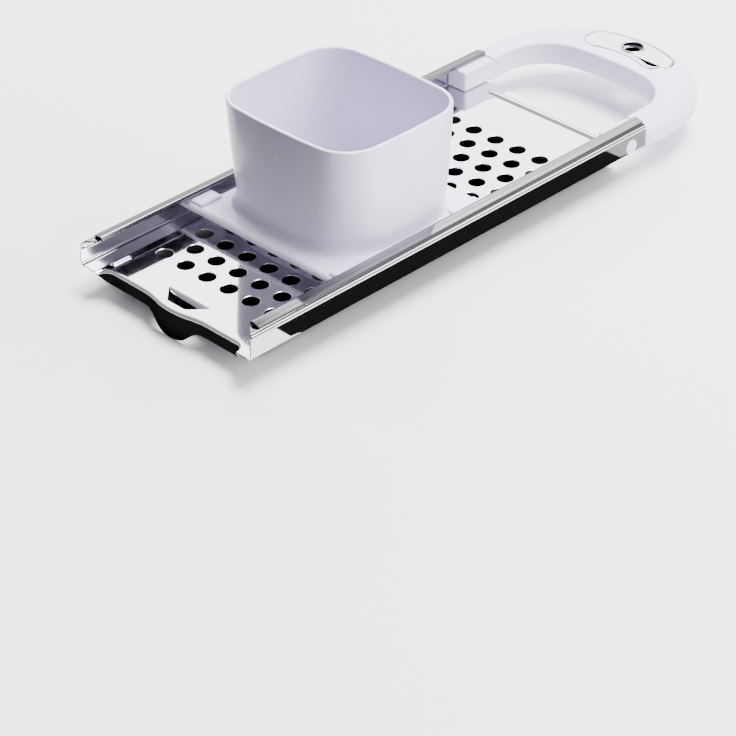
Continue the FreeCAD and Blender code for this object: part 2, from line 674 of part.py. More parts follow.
# ---- handle ---------------------------------------------------------------------------------
class Outline:
    """Right half of a plan outline, drawn from the middle plane outwards and to the front by tangent arcs."""

    def __init__(self, rear_y, height):
        self.x = 0
        self.y = rear_y
        self.height = height
        self.heading = 0
        self.edges = []

    def _on(self, centre, radius, heading):
        """Point of the arc where the outline has that heading, clockwise from X."""
        return at(centre[0] + radius * math.sin(heading), centre[1] + radius * math.cos(heading), self.height)

    def _centre(self, radius):
        """Centre of an arc that carries on from here."""
        return (self.x - radius * math.sin(self.heading), self.y - radius * math.cos(self.heading))

    def turn_to(self, radius, heading):
        """Arc until the outline has that heading, in radians."""
        centre = self._centre(radius)
        angles = (self.heading, (self.heading + heading) / 2, heading)
        points = [self._on(centre, radius, angle) for angle in angles]
        self.edges.append(arc(*points))
        self.x, self.y, self.heading = points[-1].x, points[-1].y, heading
        return self

    def turn_until(self, radius, front):
        """Arc on to the level where y is at the front."""
        centre = self._centre(radius)
        return self.turn_to(radius, math.acos((front - centre[1]) / radius))

    def turn_in(self, radius, front):
        """Arc until the outline runs straight to the front, or has reached it."""
        centre = self._centre(radius)
        if centre[1] < front:
            return self.turn_until(radius, front)
        return self.turn_to(radius, math.pi / 2).straight_until(front)

    def straight_until(self, front):
        """Line on to the level where y is at the front."""
        start = self.end()
        self.y = front
        self.edges.append(line(start, self.end()))
        return self

    def end(self):
        """Where the outline has got to."""
        return at(self.x, self.y, self.height)


def outer_arcs():
    """Radius and last heading of the outer outline's three arcs, the rear one fitted to the bow's width."""
    rear_turn = math.radians(OUTER_REAR_ANGLE)
    corner_turn = rear_turn + math.radians(OUTER_CORNER_ANGLE)
    width = PLATE_HALF + BOW_OVERHANG
    width -= OUTER_CORNER_RADIUS * (math.sin(corner_turn) - math.sin(rear_turn))
    width -= OUTER_FLANK_RADIUS * (1 - math.sin(corner_turn))
    rear_radius = width / math.sin(rear_turn)
    return ((rear_radius, rear_turn), (OUTER_CORNER_RADIUS, corner_turn), (OUTER_FLANK_RADIUS, math.pi / 2))


def bow_face(inset, height):
    """Plan of the bow, its outlines and front ends moved inwards by the inset."""
    front = BOW_FRONT + inset
    outer = Outline(BOW_REAR - inset, height)
    rear_arc, corner_arc, flank_arc = outer_arcs()
    for radius, heading in (rear_arc, corner_arc):
        outer.turn_to(radius - inset, heading)
    outer.turn_until(flank_arc[0] - inset, front)
    inner = Outline(GRIP_REAR + inset, height)
    lean = math.radians(INNER_REAR_ANGLE)
    corner = (LEG_INNER - INNER_REAR_RADIUS * math.sin(lean)) / (1 - math.sin(lean))
    inner.turn_to(INNER_REAR_RADIUS + inset, lean)
    inner.turn_in(corner + inset, front)
    half = outer.edges + inner.edges + [line(outer.end(), inner.end())]
    return face_of(half + [edge.mirror(ORIGIN, AXIS_X) for edge in half])


def is_outer(edge):
    """Whether an edge of the bow runs along its outer outline."""
    point = middle_of(edge)
    return abs(point.x) > LEG_INNER + OUTER_TOP_ROUND or point.y > GRIP_REAR + OUTER_TOP_ROUND


def bow_solid():
    """Outside of the bow, edges rounded."""
    body = bow_face(0, 0).extrude(AXIS_Z * BOW_TOP)

    def long_edge(edge, height):
        return level(edge, height) and middle_of(edge).y > BOW_FRONT + FIT

    body = rounded(body, BOTTOM_ROUND, lambda edge: long_edge(edge, 0))
    body = rounded(body, OUTER_TOP_ROUND, lambda edge: long_edge(edge, BOW_TOP) and is_outer(edge))
    return rounded(body, INNER_TOP_ROUND, lambda edge: long_edge(edge, BOW_TOP) and not is_outer(edge))


def locator_points():
    """Centres of the locating pins in plan, inside the outer outline by their insets."""
    points = []
    for degrees, inset in zip(LOCATOR_ANGLES, LOCATOR_INSETS):
        goal = math.radians(degrees)
        walk = Outline(BOW_REAR - inset, 0)
        for radius, heading in outer_arcs():
            if walk.heading < goal:
                walk.turn_to(radius - inset, min(goal, heading))
        points += [at(side * walk.x, walk.y, 0) for side in (1, -1)]
    return points


def bow_cavity():
    """Hollow of the bow, with the eyelet's sleeve and the locators' bosses left standing."""
    height = BOW_TOP - 2 * SHELL_WALL
    hollow = bow_face(SHELL_WALL, SHELL_WALL).extrude(AXIS_Z * height)
    top = SHELL_WALL + height

    def outer_edge(edge):
        return level(edge, top) and is_outer(edge)

    hollow = rounded(hollow, OUTER_TOP_ROUND - SHELL_WALL, outer_edge)
    sleeve = Part.makeCylinder(EYELET_HEAD + SHELL_WALL, BOW_TOP, at(0, EYELET_Y, 0))
    bosses = [Part.makeCylinder(LOCATOR_BOSS, BOW_TOP, point) for point in locator_points()]
    return less(hollow, [sleeve] + bosses)


def badge_face(height, growth):
    """Plan of the badge: a stadium bent along the bow, enlarged by the growth."""
    half_width = BADGE_WIDTH / 2 + growth
    centre = at(0, BADGE_Y - BADGE_RADIUS, height)
    lean = math.asin((BADGE_HALF - BADGE_WIDTH / 2) / BADGE_RADIUS)

    def on(radius, angle):
        return centre + at(radius * math.sin(angle), radius * math.cos(angle), 0)

    def cap(angle):
        middle = on(BADGE_RADIUS, angle)
        along = at(math.cos(angle), -math.sin(angle), 0) * math.copysign(half_width, angle)
        return arc(on(BADGE_RADIUS + half_width, angle), middle + along, on(BADGE_RADIUS - half_width, angle))

    def long_side(radius):
        return arc(on(radius, -lean), on(radius, 0), on(radius, lean))

    return face_of([long_side(BADGE_RADIUS + half_width), cap(lean),
                    long_side(BADGE_RADIUS - half_width), cap(-lean)])


def leg():
    """Right leg, from its free end to the bow, with the root that reaches into it."""
    bar = block((LEG_INNER, WALL_IN), (LEG_FRONT, BOW_FRONT), (SHEET, LEG_TOP))

    def long_outer(edge):
        return edge.BoundBox.YLength > LEG_TOP and middle_of(edge).x > WALL_IN - FIT

    def long_inner(edge):
        return edge.BoundBox.YLength > LEG_TOP / 2 and middle_of(edge).x < LEG_INNER + FIT

    bar = rounded(bar, FLOOR_BEND, long_outer)
    bar = rounded(bar, FLOOR_BEND / 2, lambda edge: long_inner(edge) and level(edge, LEG_TOP))
    wedges = []
    for edge_x, inwards in ((LEG_INNER, LEG_CHAMFER), (WALL_IN, -LEG_CHAMFER)):
        plan = [at(edge_x, LEG_FRONT, 0), at(edge_x + inwards, LEG_FRONT, 0),
                at(edge_x, LEG_FRONT + LEG_CHAMFER, 0)]
        wedges.append(plate_of(plan).extrude(AXIS_Z * BOW_TOP))
    bar = less(bar, wedges)
    root = block((LEG_INNER + SHELL_WALL, WALL_IN - SHELL_WALL), (BOW_FRONT - OVER, BOW_FRONT + ROOT_LENGTH),
                 (SHEET + OVER, BOW_TOP - SHELL_WALL - FIT))
    root = root.common(block((0, PLATE_HALF), (0, BOW_FRONT + ROOT_LENGTH), (0, LEG_TOP - FLOOR_BEND / 2)))
    bottom = at(WALL_IN - PEG_DEPTH - FIT, PEG_Y, PEG_Z)
    socket = Part.makeCylinder(PEG_SHANK + FIT, PEG_DEPTH + FIT + OVER, bottom, AXIS_X)
    return less(joined([bar, root]), [socket]), root


def eyelet_well():
    """Cutter for the eyelet's tube and head through the bow."""
    through = Part.makeCylinder(EYELET_TUBE + FIT, BOW_TOP + 2 * OVER, at(0, EYELET_Y, -OVER))
    ledge = EYELET_TOP - EYELET_DEPTH - SHEET
    mouth = Part.makeCylinder(EYELET_HEAD + FIT, BOW_TOP, at(0, EYELET_Y, ledge))
    return [through, mouth]


def handle_shells():
    """Lower shell with the legs, and upper shell, parted on a level plane."""
    hollow = less(bow_solid(), [bow_cavity()] + eyelet_well())
    reach = BOW_REAR + OVER
    low_half = block((-reach, reach), (0, reach), (-OVER, PARTING))
    high_half = block((-reach, reach), (0, reach), (PARTING, BOW_TOP + OVER))
    right_leg, root = leg()
    lower = hollow.common(low_half)
    upper = hollow.common(high_half)
    pins = [upright(LOCATOR_RADIUS, SHELL_WALL, PARTING + LOCATOR_RISE, point) for point in locator_points()]
    sockets = [upright(LOCATOR_RADIUS + FIT, PARTING - OVER, PARTING + LOCATOR_RISE + FIT, point)
               for point in locator_points()]
    lower = joined([lower] + both_sides(right_leg) + pins)
    clear = block((LEG_INNER + SHELL_WALL - FIT, WALL_IN - SHELL_WALL + FIT),
                  (BOW_FRONT - OVER, BOW_FRONT + ROOT_LENGTH + FIT), (SHEET, LEG_TOP - FLOOR_BEND / 2 + FIT))
    recess = badge_face(BOW_TOP - BADGE_RECESS, FIT).extrude(AXIS_Z * (BADGE_RECESS + OVER))
    upper = less(upper, sockets + both_sides(clear) + [recess])
    return lower, upper


def badge():
    """Chrome plate with a bevelled upper rim and the hole for the eyelet's head."""
    thickness = BADGE_RECESS + BADGE_RISE
    plate = badge_face(BOW_TOP - BADGE_RECESS, 0).extrude(AXIS_Z * thickness)
    rims = [edge for edge in plate.Edges if level(edge, BADGE_TOP)]
    plate = plate.makeChamfer(BADGE_BEVEL, rims)
    hole = upright(EYELET_HEAD + FIT, 0, BADGE_TOP + OVER, at(0, EYELET_Y, 0))
    return less(plate, [hole])


def hang_eyelet():
    """Flanged tube, turned from one outline."""
    ledge = EYELET_TOP - EYELET_DEPTH
    outline = [(EYELET_BORE, 0), (EYELET_TUBE, 0), (EYELET_TUBE, ledge - SHEET), (EYELET_HEAD, ledge - SHEET),
               (EYELET_HEAD, EYELET_TOP), (EYELET_RECESS, EYELET_TOP), (EYELET_RECESS, ledge),
               (EYELET_BORE, ledge)]
    face = plate_of([at(radius, 0, height) for radius, height in outline])
    body = face.revolve(ORIGIN, AXIS_Z, 4 * QUARTER)
    body = rounded(body, EYELET_ROUND, lambda edge: level(edge, EYELET_TOP) and edge.BoundBox.XLength > OVER)
    body.translate(at(0, EYELET_Y, 0))
    return body


def retaining_peg():
    """Right peg: head in the wall's hole, shank in the leg's socket."""
    head = Part.makeCylinder(PEG_HEAD, SHEET + PEG_PROUD, at(WALL_IN, PEG_Y, PEG_Z), AXIS_X)
    rim = PLATE_HALF + PEG_PROUD
    head = rounded(head, PEG_ROUND, lambda edge: math.isclose(edge.BoundBox.XMin, rim, abs_tol=FIT))
    shank = Part.makeCylinder(PEG_SHANK, PEG_DEPTH + SHEET, at(WALL_IN - PEG_DEPTH, PEG_Y, PEG_Z), AXIS_X)
    return joined([head, shank])


# ---- export ---------------------------------------------------------------------------------
def nodes():
    """Every piece by its name."""
    lower, upper = handle_shells()
    right_peg, left_peg = both_sides(retaining_peg())
    return {
        "grater_plate": grater_plate(),
        "hopper": hopper(),
        "handle_lower_shell": lower,
        "handle_upper_shell": upper,
        "badge": badge(),
        "hang_eyelet": hang_eyelet(),
        "retaining_peg_right": right_peg,
        "retaining_peg_left": left_peg,
    }


def main():
    """Build each piece and write its file."""
    os.makedirs("parts", exist_ok=True)
    for name, shape in nodes().items():
        solids = shape.Solids
        whole = solids[0] if len(solids) == 1 else shape
        print(name, "solids", len(solids), "valid", whole.isValid(), "volume", round(whole.Volume, 1))
        whole.exportStep(f"parts/{name}.step")


main()
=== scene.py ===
"""Dresses the spaetzle maker: perforated plate, sliding hopper, bow handle, badge and studio."""

import logging
import math
from dataclasses import dataclass
from dataclasses import field
from enum import Enum

import bmesh
import bpy
from mathutils import Matrix
from mathutils import Vector
from mathutils.geometry import tessellate_polygon


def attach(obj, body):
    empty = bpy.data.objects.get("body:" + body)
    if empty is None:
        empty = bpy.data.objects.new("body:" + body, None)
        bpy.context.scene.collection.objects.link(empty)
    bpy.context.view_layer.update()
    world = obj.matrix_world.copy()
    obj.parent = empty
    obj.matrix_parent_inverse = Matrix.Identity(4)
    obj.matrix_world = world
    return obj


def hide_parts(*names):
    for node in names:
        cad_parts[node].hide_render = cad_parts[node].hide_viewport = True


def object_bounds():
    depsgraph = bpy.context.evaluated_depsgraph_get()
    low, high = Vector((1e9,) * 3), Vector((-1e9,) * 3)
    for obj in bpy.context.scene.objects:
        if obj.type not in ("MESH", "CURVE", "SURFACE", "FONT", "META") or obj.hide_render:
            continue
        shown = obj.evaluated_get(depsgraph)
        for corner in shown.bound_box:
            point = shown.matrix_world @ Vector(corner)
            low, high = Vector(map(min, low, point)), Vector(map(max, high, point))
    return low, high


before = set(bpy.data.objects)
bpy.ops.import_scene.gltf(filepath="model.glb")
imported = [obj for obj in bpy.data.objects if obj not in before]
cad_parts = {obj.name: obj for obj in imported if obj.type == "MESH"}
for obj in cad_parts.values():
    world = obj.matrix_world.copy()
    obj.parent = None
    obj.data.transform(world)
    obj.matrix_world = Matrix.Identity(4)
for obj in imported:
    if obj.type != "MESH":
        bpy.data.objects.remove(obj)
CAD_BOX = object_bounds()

MM = 0.001
WELD = 0.002 * MM  # points of a piece that lie closer become one
FLOOR_WELD = 0.005 * MM  # the same for the floor and the rims of its holes
SLIVER = 0.0005 * MM  # shorter edges are taken out
SHARP = math.radians(38)
LOG = logging.getLogger("spaetzle_maker")

Point = tuple[float, float, float]
Plan = tuple[float, float]
Colour = tuple[float, float, float, float]


class Body(Enum):
    """Bodies of the frame that pieces ride on."""

    CHANNEL = "channel"
    HOPPER = "hopper"


class Slot(Enum):
    """Material slots of the record."""

    STEEL = "steel"
    PLASTIC = "white_plastic"
    CHROME = "bright_chrome"


# ---- shader maths ---------------------------------------------------------------------------
class Value:
    """Number socket of a shader tree that is added, subtracted and multiplied like a number."""

    def __init__(self, shader: "Shader", socket: bpy.types.NodeSocket) -> None:
        """Wrap a socket.

        Args:
            shader: Shader whose tree the socket is in.
            socket: Output socket with the value.
        """
        self.shader = shader
        self.socket = socket

    def _maths(self, operation: str, first: "Value | float", second: "Value | float") -> "Value":
        """Result of a Math node.

        Args:
            operation: Name of the operation.
            first: First operand.
            second: Second operand.

        Returns:
            The node's result.
        """
        node = self.shader.node("ShaderNodeMath", {"operation": operation}, {0: first, 1: second})
        return Value(self.shader, node.outputs[0])

    def __add__(self, other: "Value | float") -> "Value":
        """Sum of two values."""
        return self._maths("ADD", self, other)

    def __radd__(self, other: float) -> "Value":
        """Sum of a number and this value."""
        return self._maths("ADD", other, self)

    def __sub__(self, other: "Value | float") -> "Value":
        """Difference of two values."""
        return self._maths("SUBTRACT", self, other)

    def __rsub__(self, other: float) -> "Value":
        """A number less this value."""
        return self._maths("SUBTRACT", other, self)

    def __mul__(self, other: "Value | float") -> "Value":
        """Product of two values."""
        return self._maths("MULTIPLY", self, other)

    def __rmul__(self, other: float) -> "Value":
        """Product of a number and this value."""
        return self._maths("MULTIPLY", other, self)

    def stretched(self, low: float, high: float) -> "Value":
        """The value spread so that low becomes 0 and high becomes 1, and kept between them."""
        inputs = {"Value": self, "From Min": low, "From Max": high}
        return Value(self.shader, self.shader.node("ShaderNodeMapRange", {"clamp": True}, inputs).outputs[0])

    def mixed(self, low: "Colour | bpy.types.NodeSocket", high: Colour) -> bpy.types.NodeSocket:
        """Colour mixed from two by this value.

        Args:
            low: Colour where the value is 0, or a socket with it.
            high: Colour where the value is 1.

        Returns:
            Socket with the mixed colour.
        """
        inputs = {"Factor": self, "A": low, "B": high}
        return self.shader.node("ShaderNodeMix", {"data_type": "RGBA"}, inputs).outputs["Result"]


def feed(tree: bpy.types.NodeTree, socket: bpy.types.NodeSocket, source: object) -> None:
    """Link a source to a socket, or set the socket to a plain value.

    Args:
        tree: Tree that both are in.
        socket: Input socket.
        source: Value, output socket or plain value.
    """
    source = source.socket if isinstance(source, Value) else source
    if isinstance(source, bpy.types.NodeSocket):
        tree.links.new(source, socket)
    else:
        socket.default_value = source


def planted(tree: bpy.types.NodeTree, kind: str, settings: dict | None = None,
            inputs: dict | None = None) -> bpy.types.Node:
    """Node of any type, added to a tree.

    Args:
        tree: Shader or geometry tree.
        kind: Type of the node.
        settings: Its properties, set first.
        inputs: Values, sources or lists of sources by input name or number.

    Returns:
        The node.
    """
    node = tree.nodes.new(kind)
    for name, value in (settings or {}).items():
        setattr(node, name, value)
    for name, value in (inputs or {}).items():
        for source in value if isinstance(value, list) else [value]:
            feed(tree, node.inputs[name], source)
    return node


@dataclass(frozen=True)
class Pattern:
    """Noise of a finish.

    Its cells are counted per metre along X, Y and Z and its detail in octaves. Its ends, where it
    has them, are the noise that becomes 0 and the noise that becomes 1.
    """

    cells: Point
    detail: float = 2.0
    ends: Plan | None = None


class Shader:
    """A new material with one Principled shader and patterns on Object coordinates."""

    def __init__(self, name: str, **constants: float | Colour) -> None:
        """Start the material.

        Args:
            name: Name of the material.
            constants: Sockets that are the same all over, with underscores for spaces.
        """
        self.material = bpy.data.materials.new(name)
        self.material.use_nodes = True
        self.tree = self.material.node_tree
        self.principled = self.tree.nodes["Principled BSDF"]
        self.place = self.node("ShaderNodeTexCoord").outputs["Object"]
        for socket, value in constants.items():
            self.principled.inputs[socket.replace("_", " ")].default_value = value

    def node(self, kind: str, settings: dict | None = None, inputs: dict | None = None) -> bpy.types.Node:
        """Add a node of any type.

        Args:
            kind: Its type.
            settings: Its properties, set first.
            inputs: Values or sources by input name or number.

        Returns:
            The node.
        """
        return planted(self.tree, kind, settings, inputs)

    def noise(self, pattern: Pattern) -> Value:
        """Noise of a pattern.

        Args:
            pattern: What the noise is like.

        Returns:
            Noise from 0 to 1, spread between the pattern's ends where it has them.
        """
        place = self.node("ShaderNodeMapping", None, {"Vector": self.place, "Scale": pattern.cells})
        inputs = {"Vector": place.outputs[0], "Scale": 1.0, "Detail": pattern.detail}
        noise = Value(self, self.node("ShaderNodeTexNoise", None, inputs).outputs[0])
        return noise.stretched(*pattern.ends) if pattern.ends else noise

    def axes(self) -> list[Value]:
        """The three coordinates of a point of the piece, in metres."""
        return [Value(self, socket) for socket in
                self.node("ShaderNodeSeparateXYZ", None, {"Vector": self.place}).outputs]

    def drive(self, **sources: object) -> None:
        """Feed what varies into the shader's sockets, named with underscores for spaces."""
        for socket, source in sources.items():
            feed(self.tree, self.principled.inputs[socket.replace("_", " ")], source)

    def raised(self, height: Value, distance: float, strength: float) -> bpy.types.NodeSocket:
        """Normal of the surface raised by a height pattern.

        Args:
            height: Pattern from 0 to 1.
            distance: Height of the pattern in metres.
            strength: Share of it that shows.

        Returns:
            Socket with the normal.
        """
        inputs = {"Height": height, "Distance": distance, "Strength": strength}
        return self.node("ShaderNodeBump", None, inputs).outputs["Normal"]


@dataclass(frozen=True)
class PolishedSteel:
    """Mirror-bright stainless sheet, a little wavy, with wiping marks, and rougher rails whose flange bands
    carry a painted dark reflection in streaks.
    """

    colour: Colour = (0.70, 0.69, 0.715, 1.0)
    shade: Colour = (0.63, 0.62, 0.65, 1.0)
    # colour of the painted dark reflection on the flange bands
    painted_reflection: Colour = (0.045, 0.043, 0.045, 1.0)
    roughness: float = 0.035
    grain_roughness: float = 0.03
    wiping_roughness: float = 0.05
    rail_roughness: float = 0.02
    rail_x: Plan = (0.0418, 0.0428)
    rail_z: Plan = (0.0106, 0.0112)
    even_painted_reflection: float = 0.62
    painted_reflection_in_lines: float = 0.38
    lines: Pattern = Pattern((1500.0, 5.0, 1500.0), ends=(0.35, 0.7))
    grain: Pattern = Pattern((1400.0, 30.0, 1400.0), 3.0)
    clouds: Pattern = Pattern((14.0, 14.0, 14.0))
    wiping: Pattern = Pattern((260.0, 40.0, 260.0), 4.0, (0.52, 0.78))
    waves: Pattern = Pattern((55.0, 35.0, 55.0))
    wave_height: float = 0.00003
    wave_share: float = 0.3

    def build(self) -> bpy.types.Material:
        """Make the finish.

        Returns:
            Material of the plate.
        """
        shader = Shader("polished_steel", Metallic=1.0)
        across, _, height = shader.axes()
        # a band along each flange is darkened in streaks: a painted dark reflection, not a finish of the
        # steel
        rails = (across * across).stretched(*[x * x for x in self.rail_x]) * height.stretched(*self.rail_z)
        painted_reflection = rails * (self.even_painted_reflection + self.painted_reflection_in_lines * shader.noise(self.lines))
        grain = shader.noise(self.grain)
        clouds = shader.noise(self.clouds)
        wiped = shader.noise(self.wiping)
        colour = painted_reflection.mixed(clouds.mixed(self.shade, self.colour), self.painted_reflection)
        roughness = self.roughness + grain * self.grain_roughness + wiped * self.wiping_roughness
        shader.drive(Base_Color=colour, Roughness=roughness + rails * self.rail_roughness,
                     Normal=shader.raised(shader.noise(self.waves), self.wave_height, self.wave_share))
        return shader.material


@dataclass(frozen=True)
class GlossPlastic:
    """Cool white moulding with a soft gloss and the fine skin of its mould."""

    colour: Colour = (0.775, 0.74, 0.93, 1.0)
    shade: Colour = (0.74, 0.705, 0.90, 1.0)
    roughness: float = 0.2
    rubbed_roughness: float = 0.08
    ior: float = 1.47
    clouds: Pattern = Pattern((22.0, 22.0, 22.0))
    rubbing: Pattern = Pattern((90.0, 90.0, 30.0), 3.0, (0.45, 0.75))
    skin: Pattern = Pattern((420.0, 420.0, 420.0))
    skin_height: float = 0.00002
    skin_share: float = 0.2

    def build(self) -> bpy.types.Material:
        """Make the finish.

        Returns:
            Material of the hopper and the handle.
        """
        shader = Shader("gloss_white", Metallic=0.0, IOR=self.ior)
        clouds = shader.noise(self.clouds)
        rubbed = shader.noise(self.rubbing)
        skin = shader.noise(self.skin)
        shader.drive(Base_Color=clouds.mixed(self.shade, self.colour),
                     Roughness=self.roughness + rubbed * self.rubbed_roughness,
                     Normal=shader.raised(skin, self.skin_height, self.skin_share))
        return shader.material


@dataclass(frozen=True)
class BrightChrome:
    """Plated trim, sharper than the sheet, with hair marks from cleaning and a painted dark reflection in the
    bore.
    """

    colour: Colour = (0.66, 0.66, 0.69, 1.0)
    shade: Colour = (0.58, 0.58, 0.62, 1.0)
    painted_bore_reflection: Colour = (0.10, 0.10, 0.11, 1.0)
    bore_y: float = 0.2756
    bore: Plan = (0.0044, 0.0047)
    roughness: float = 0.03
    hair_roughness: float = 0.05
    clouds: Pattern = Pattern((60.0, 60.0, 60.0))
    hairs: Pattern = Pattern((150.0, 1800.0, 150.0), 3.0, (0.55, 0.8))
    waves: Pattern = Pattern((70.0, 70.0, 70.0))
    wave_height: float = 0.00003
    wave_share: float = 0.3

    def build(self) -> bpy.types.Material:
        """Make the finish.

        Returns:
            Material of the badge and the eyelet.
        """
        shader = Shader("bright_chrome", Metallic=1.0)
        clouds = shader.noise(self.clouds)
        hairs = shader.noise(self.hairs)
        across, along, _ = shader.axes()
        along = along - self.bore_y
        # the bore's wall is darkened: a painted dark reflection, not a finish of the chrome
        wall = (across * across + along * along).stretched(self.bore[1] ** 2, self.bore[0] ** 2)
        shader.drive(Base_Color=wall.mixed(clouds.mixed(self.shade, self.colour), self.painted_bore_reflection),
                     Roughness=self.roughness + hairs * self.hair_roughness,
                     Normal=shader.raised(shader.noise(self.waves), self.wave_height, self.wave_share))
        return shader.material


@dataclass(frozen=True)
class PaleFloor:
    """Matt near-white paper of the studio."""

    colour: Colour = (0.90, 0.90, 0.91, 1.0)
    roughness: float = 0.7

    def build(self) -> bpy.types.Material:
        """Material of the stage."""
        return Shader("pale_floor", Base_Color=self.colour, Roughness=self.roughness).material


@dataclass(frozen=True)
class DarkCard:
    """Matt card that keeps light off."""

    colour: Colour

    def build(self, name: str) -> bpy.types.Material:
        """Material of one flag."""
        return Shader(name, Base_Color=self.colour, Roughness=1.0, Specular_IOR_Level=0.0).material


# ---- meshes ---------------------------------------------------------------------------------
class Skin:
    """Points and faces of a piece while it is made, in millimetres."""

    def __init__(self) -> None:
        """Start with nothing."""
        self.points: list[Point] = []
        self.faces: list[tuple[int, ...]] = []

    def _add(self, points: list[Point]) -> range:
        """Add points.

        Args:
            points: What to add.

        Returns:
            Their numbers.
        """
        first = len(self.points)
        self.points += points
        return range(first, len(self.points))

    def grid(self, rows: list[list[Point]], rows_close: bool = False, ends_close: bool = False) -> None:
        """Quads between rows of equal length.

        Args:
            rows: Rows of points.
            rows_close: Whether each row runs round to its start.
            ends_close: Whether the last row joins the first.
        """
        numbers = [self._add(row) for row in rows]
        pairs = list(zip(numbers, numbers[1:]))
        if ends_close:
            pairs.append((numbers[-1], numbers[0]))
        count = len(rows[0])
        last = count if rows_close else count - 1
        for here, there in pairs:
            for index in range(last):
                after = (index + 1) % count
                self.faces.append((here[index], here[after], there[after], there[index]))

    def fill(self, loops: list[list[Point]]) -> None:
        """Flat faces inside the first loop and outside the others.

        Args:
            loops: Closed runs of points in one plane.
        """
        points = [Vector(point) for loop in loops for point in loop]
        numbers = self._add([tuple(point) for point in points])
        for triangle in tessellate_polygon([[Vector(point) for point in loop] for loop in loops]):
            self.faces.append(tuple(numbers[index] for index in triangle))

    def mesh(self, name: str, mirrored: bool = False) -> bpy.types.Mesh:
        """Closed mesh of the skin with its faces turned outwards.

        Args:
            name: Name of the mesh.
            mirrored: Whether the other half is added across the middle plane.

        Returns:
            The mesh, in metres.
        """
        form = bmesh.new()
        for side in (1, -1) if mirrored else (1,):
            corners = [form.verts.new((side * x * MM, y * MM, z * MM)) for x, y, z in self.points]
            for face in self.faces:
                if len({self.points[index] for index in face}) == len(face):
                    form.faces.new([corners[index] for index in face])
        bmesh.ops.remove_doubles(form, verts=form.verts, dist=WELD)
        bmesh.ops.dissolve_degenerate(form, dist=SLIVER, edges=form.edges)
        bmesh.ops.recalc_face_normals(form, faces=form.faces)
        mesh = bpy.data.meshes.new(name)
        form.to_mesh(mesh)
        form.free()
        return mesh


def baked(source: bpy.types.Object, name: str) -> bpy.types.Mesh:
    """Plain mesh of an object with its modifiers, which are then removed.

    Args:
        source: Object with live modifiers.
        name: Name of the new mesh.

    Returns:
        The finished mesh.
    """
    bpy.context.view_layer.update()
    evaluated = source.evaluated_get(bpy.context.evaluated_depsgraph_get())
    mesh = bpy.data.meshes.new_from_object(evaluated)
    mesh.name = name
    source.modifiers.clear()
    return mesh


def shown(name: str, mesh: bpy.types.Mesh) -> bpy.types.Object:
    """Object of a mesh in the scene.

    Args:
        name: Name of the object.
        mesh: Its mesh.

    Returns:
        The object, at the origin.
    """
    thing = bpy.data.objects.new(name, mesh)
    bpy.context.scene.collection.objects.link(thing)
    return thing


def dropped(*things: bpy.types.Object) -> None:
    """Remove helper objects from the file."""
    for thing in things:
        bpy.data.objects.remove(thing)


def joined(name: str, meshes: list[bpy.types.Mesh]) -> bpy.types.Mesh:
    """One mesh out of several.

    Args:
        name: Name of the new mesh.
        meshes: What goes into it.

    Returns:
        The mesh.
    """
    form = bmesh.new()
    for mesh in meshes:
        form.from_mesh(mesh)
    whole = bpy.data.meshes.new(name)
    form.to_mesh(whole)
    form.free()
    return whole


def carved(name: str, mesh: bpy.types.Mesh, cutters: list[bpy.types.Mesh]) -> bpy.types.Mesh:
    """A mesh without its cutters.

    Args:
        name: Name of the new mesh.
        mesh: What is cut.
        cutters: Closed meshes that are taken away.

    Returns:
        The mesh that is left.
    """
    thing = shown(name, mesh)
    tools = [shown(f"{name}_cutter", cutter) for cutter in cutters]
    for tool in tools:
        cut = thing.modifiers.new("cut", "BOOLEAN")
        cut.operation = "DIFFERENCE"
        cut.solver = "EXACT"
        cut.object = tool
    result = baked(thing, name)
    dropped(thing, *tools)
    return result


def block(low: Point, high: Point, bevel: float = 0.0, steps: int = 3,
          plain_rear: bool = False) -> bpy.types.Mesh:
    """Box between two corners with all edges rounded.

    Args:
        low: Lowest corner in millimetres.
        high: Highest corner in millimetres.
        bevel: Radius of the rounding.
        steps: Segments of the rounding.
        plain_rear: Whether the edges of the end at the highest Y stay sharp.

    Returns:
        The mesh.
    """
    form = bmesh.new()
    bmesh.ops.create_cube(form, size=1.0)
    middle = (Vector(low) + Vector(high)) / 2
    size = Vector(high) - Vector(low)
    for corner in form.verts:
        corner.co = Vector(m + c * s for m, c, s in zip(middle, corner.co, size)) * MM
    edges = [edge for edge in form.edges
             if not (plain_rear and min(corner.co.y for corner in edge.verts) > middle.y * MM)]
    if bevel:
        bmesh.ops.bevel(form, geom=edges, offset=bevel * MM, segments=steps, profile=0.5, affect="EDGES")
    mesh = bpy.data.meshes.new("block")
    form.to_mesh(mesh)
    form.free()
    return mesh


def lathed(outline: list[Plan], place: Point, steps: int, along_x: float = 0.0) -> Skin:
    """Closed ring turned from an outline of radius and height.

    Args:
        outline: Closed run of radius and height; a radius of 0 closes a pole.
        place: Foot of the axis.
        steps: Segments round the axis.
        along_x: 0 for an upright axis, or the side of X that the axis points to.

    Returns:
        The skin.
    """
    rows = []
    for step in range(steps):
        turn = math.tau * step / steps
        row = []
        for radius, height in outline:
            across, deep = radius * math.cos(turn), radius * math.sin(turn)
            if along_x:
                row.append((place[0] + along_x * height, place[1] + across, place[2] + deep))
            else:
                row.append((place[0] + across, place[1] + deep, place[2] + height))
        rows.append(row)
    skin = Skin()
    skin.grid(rows, rows_close=True, ends_close=True)
    return skin


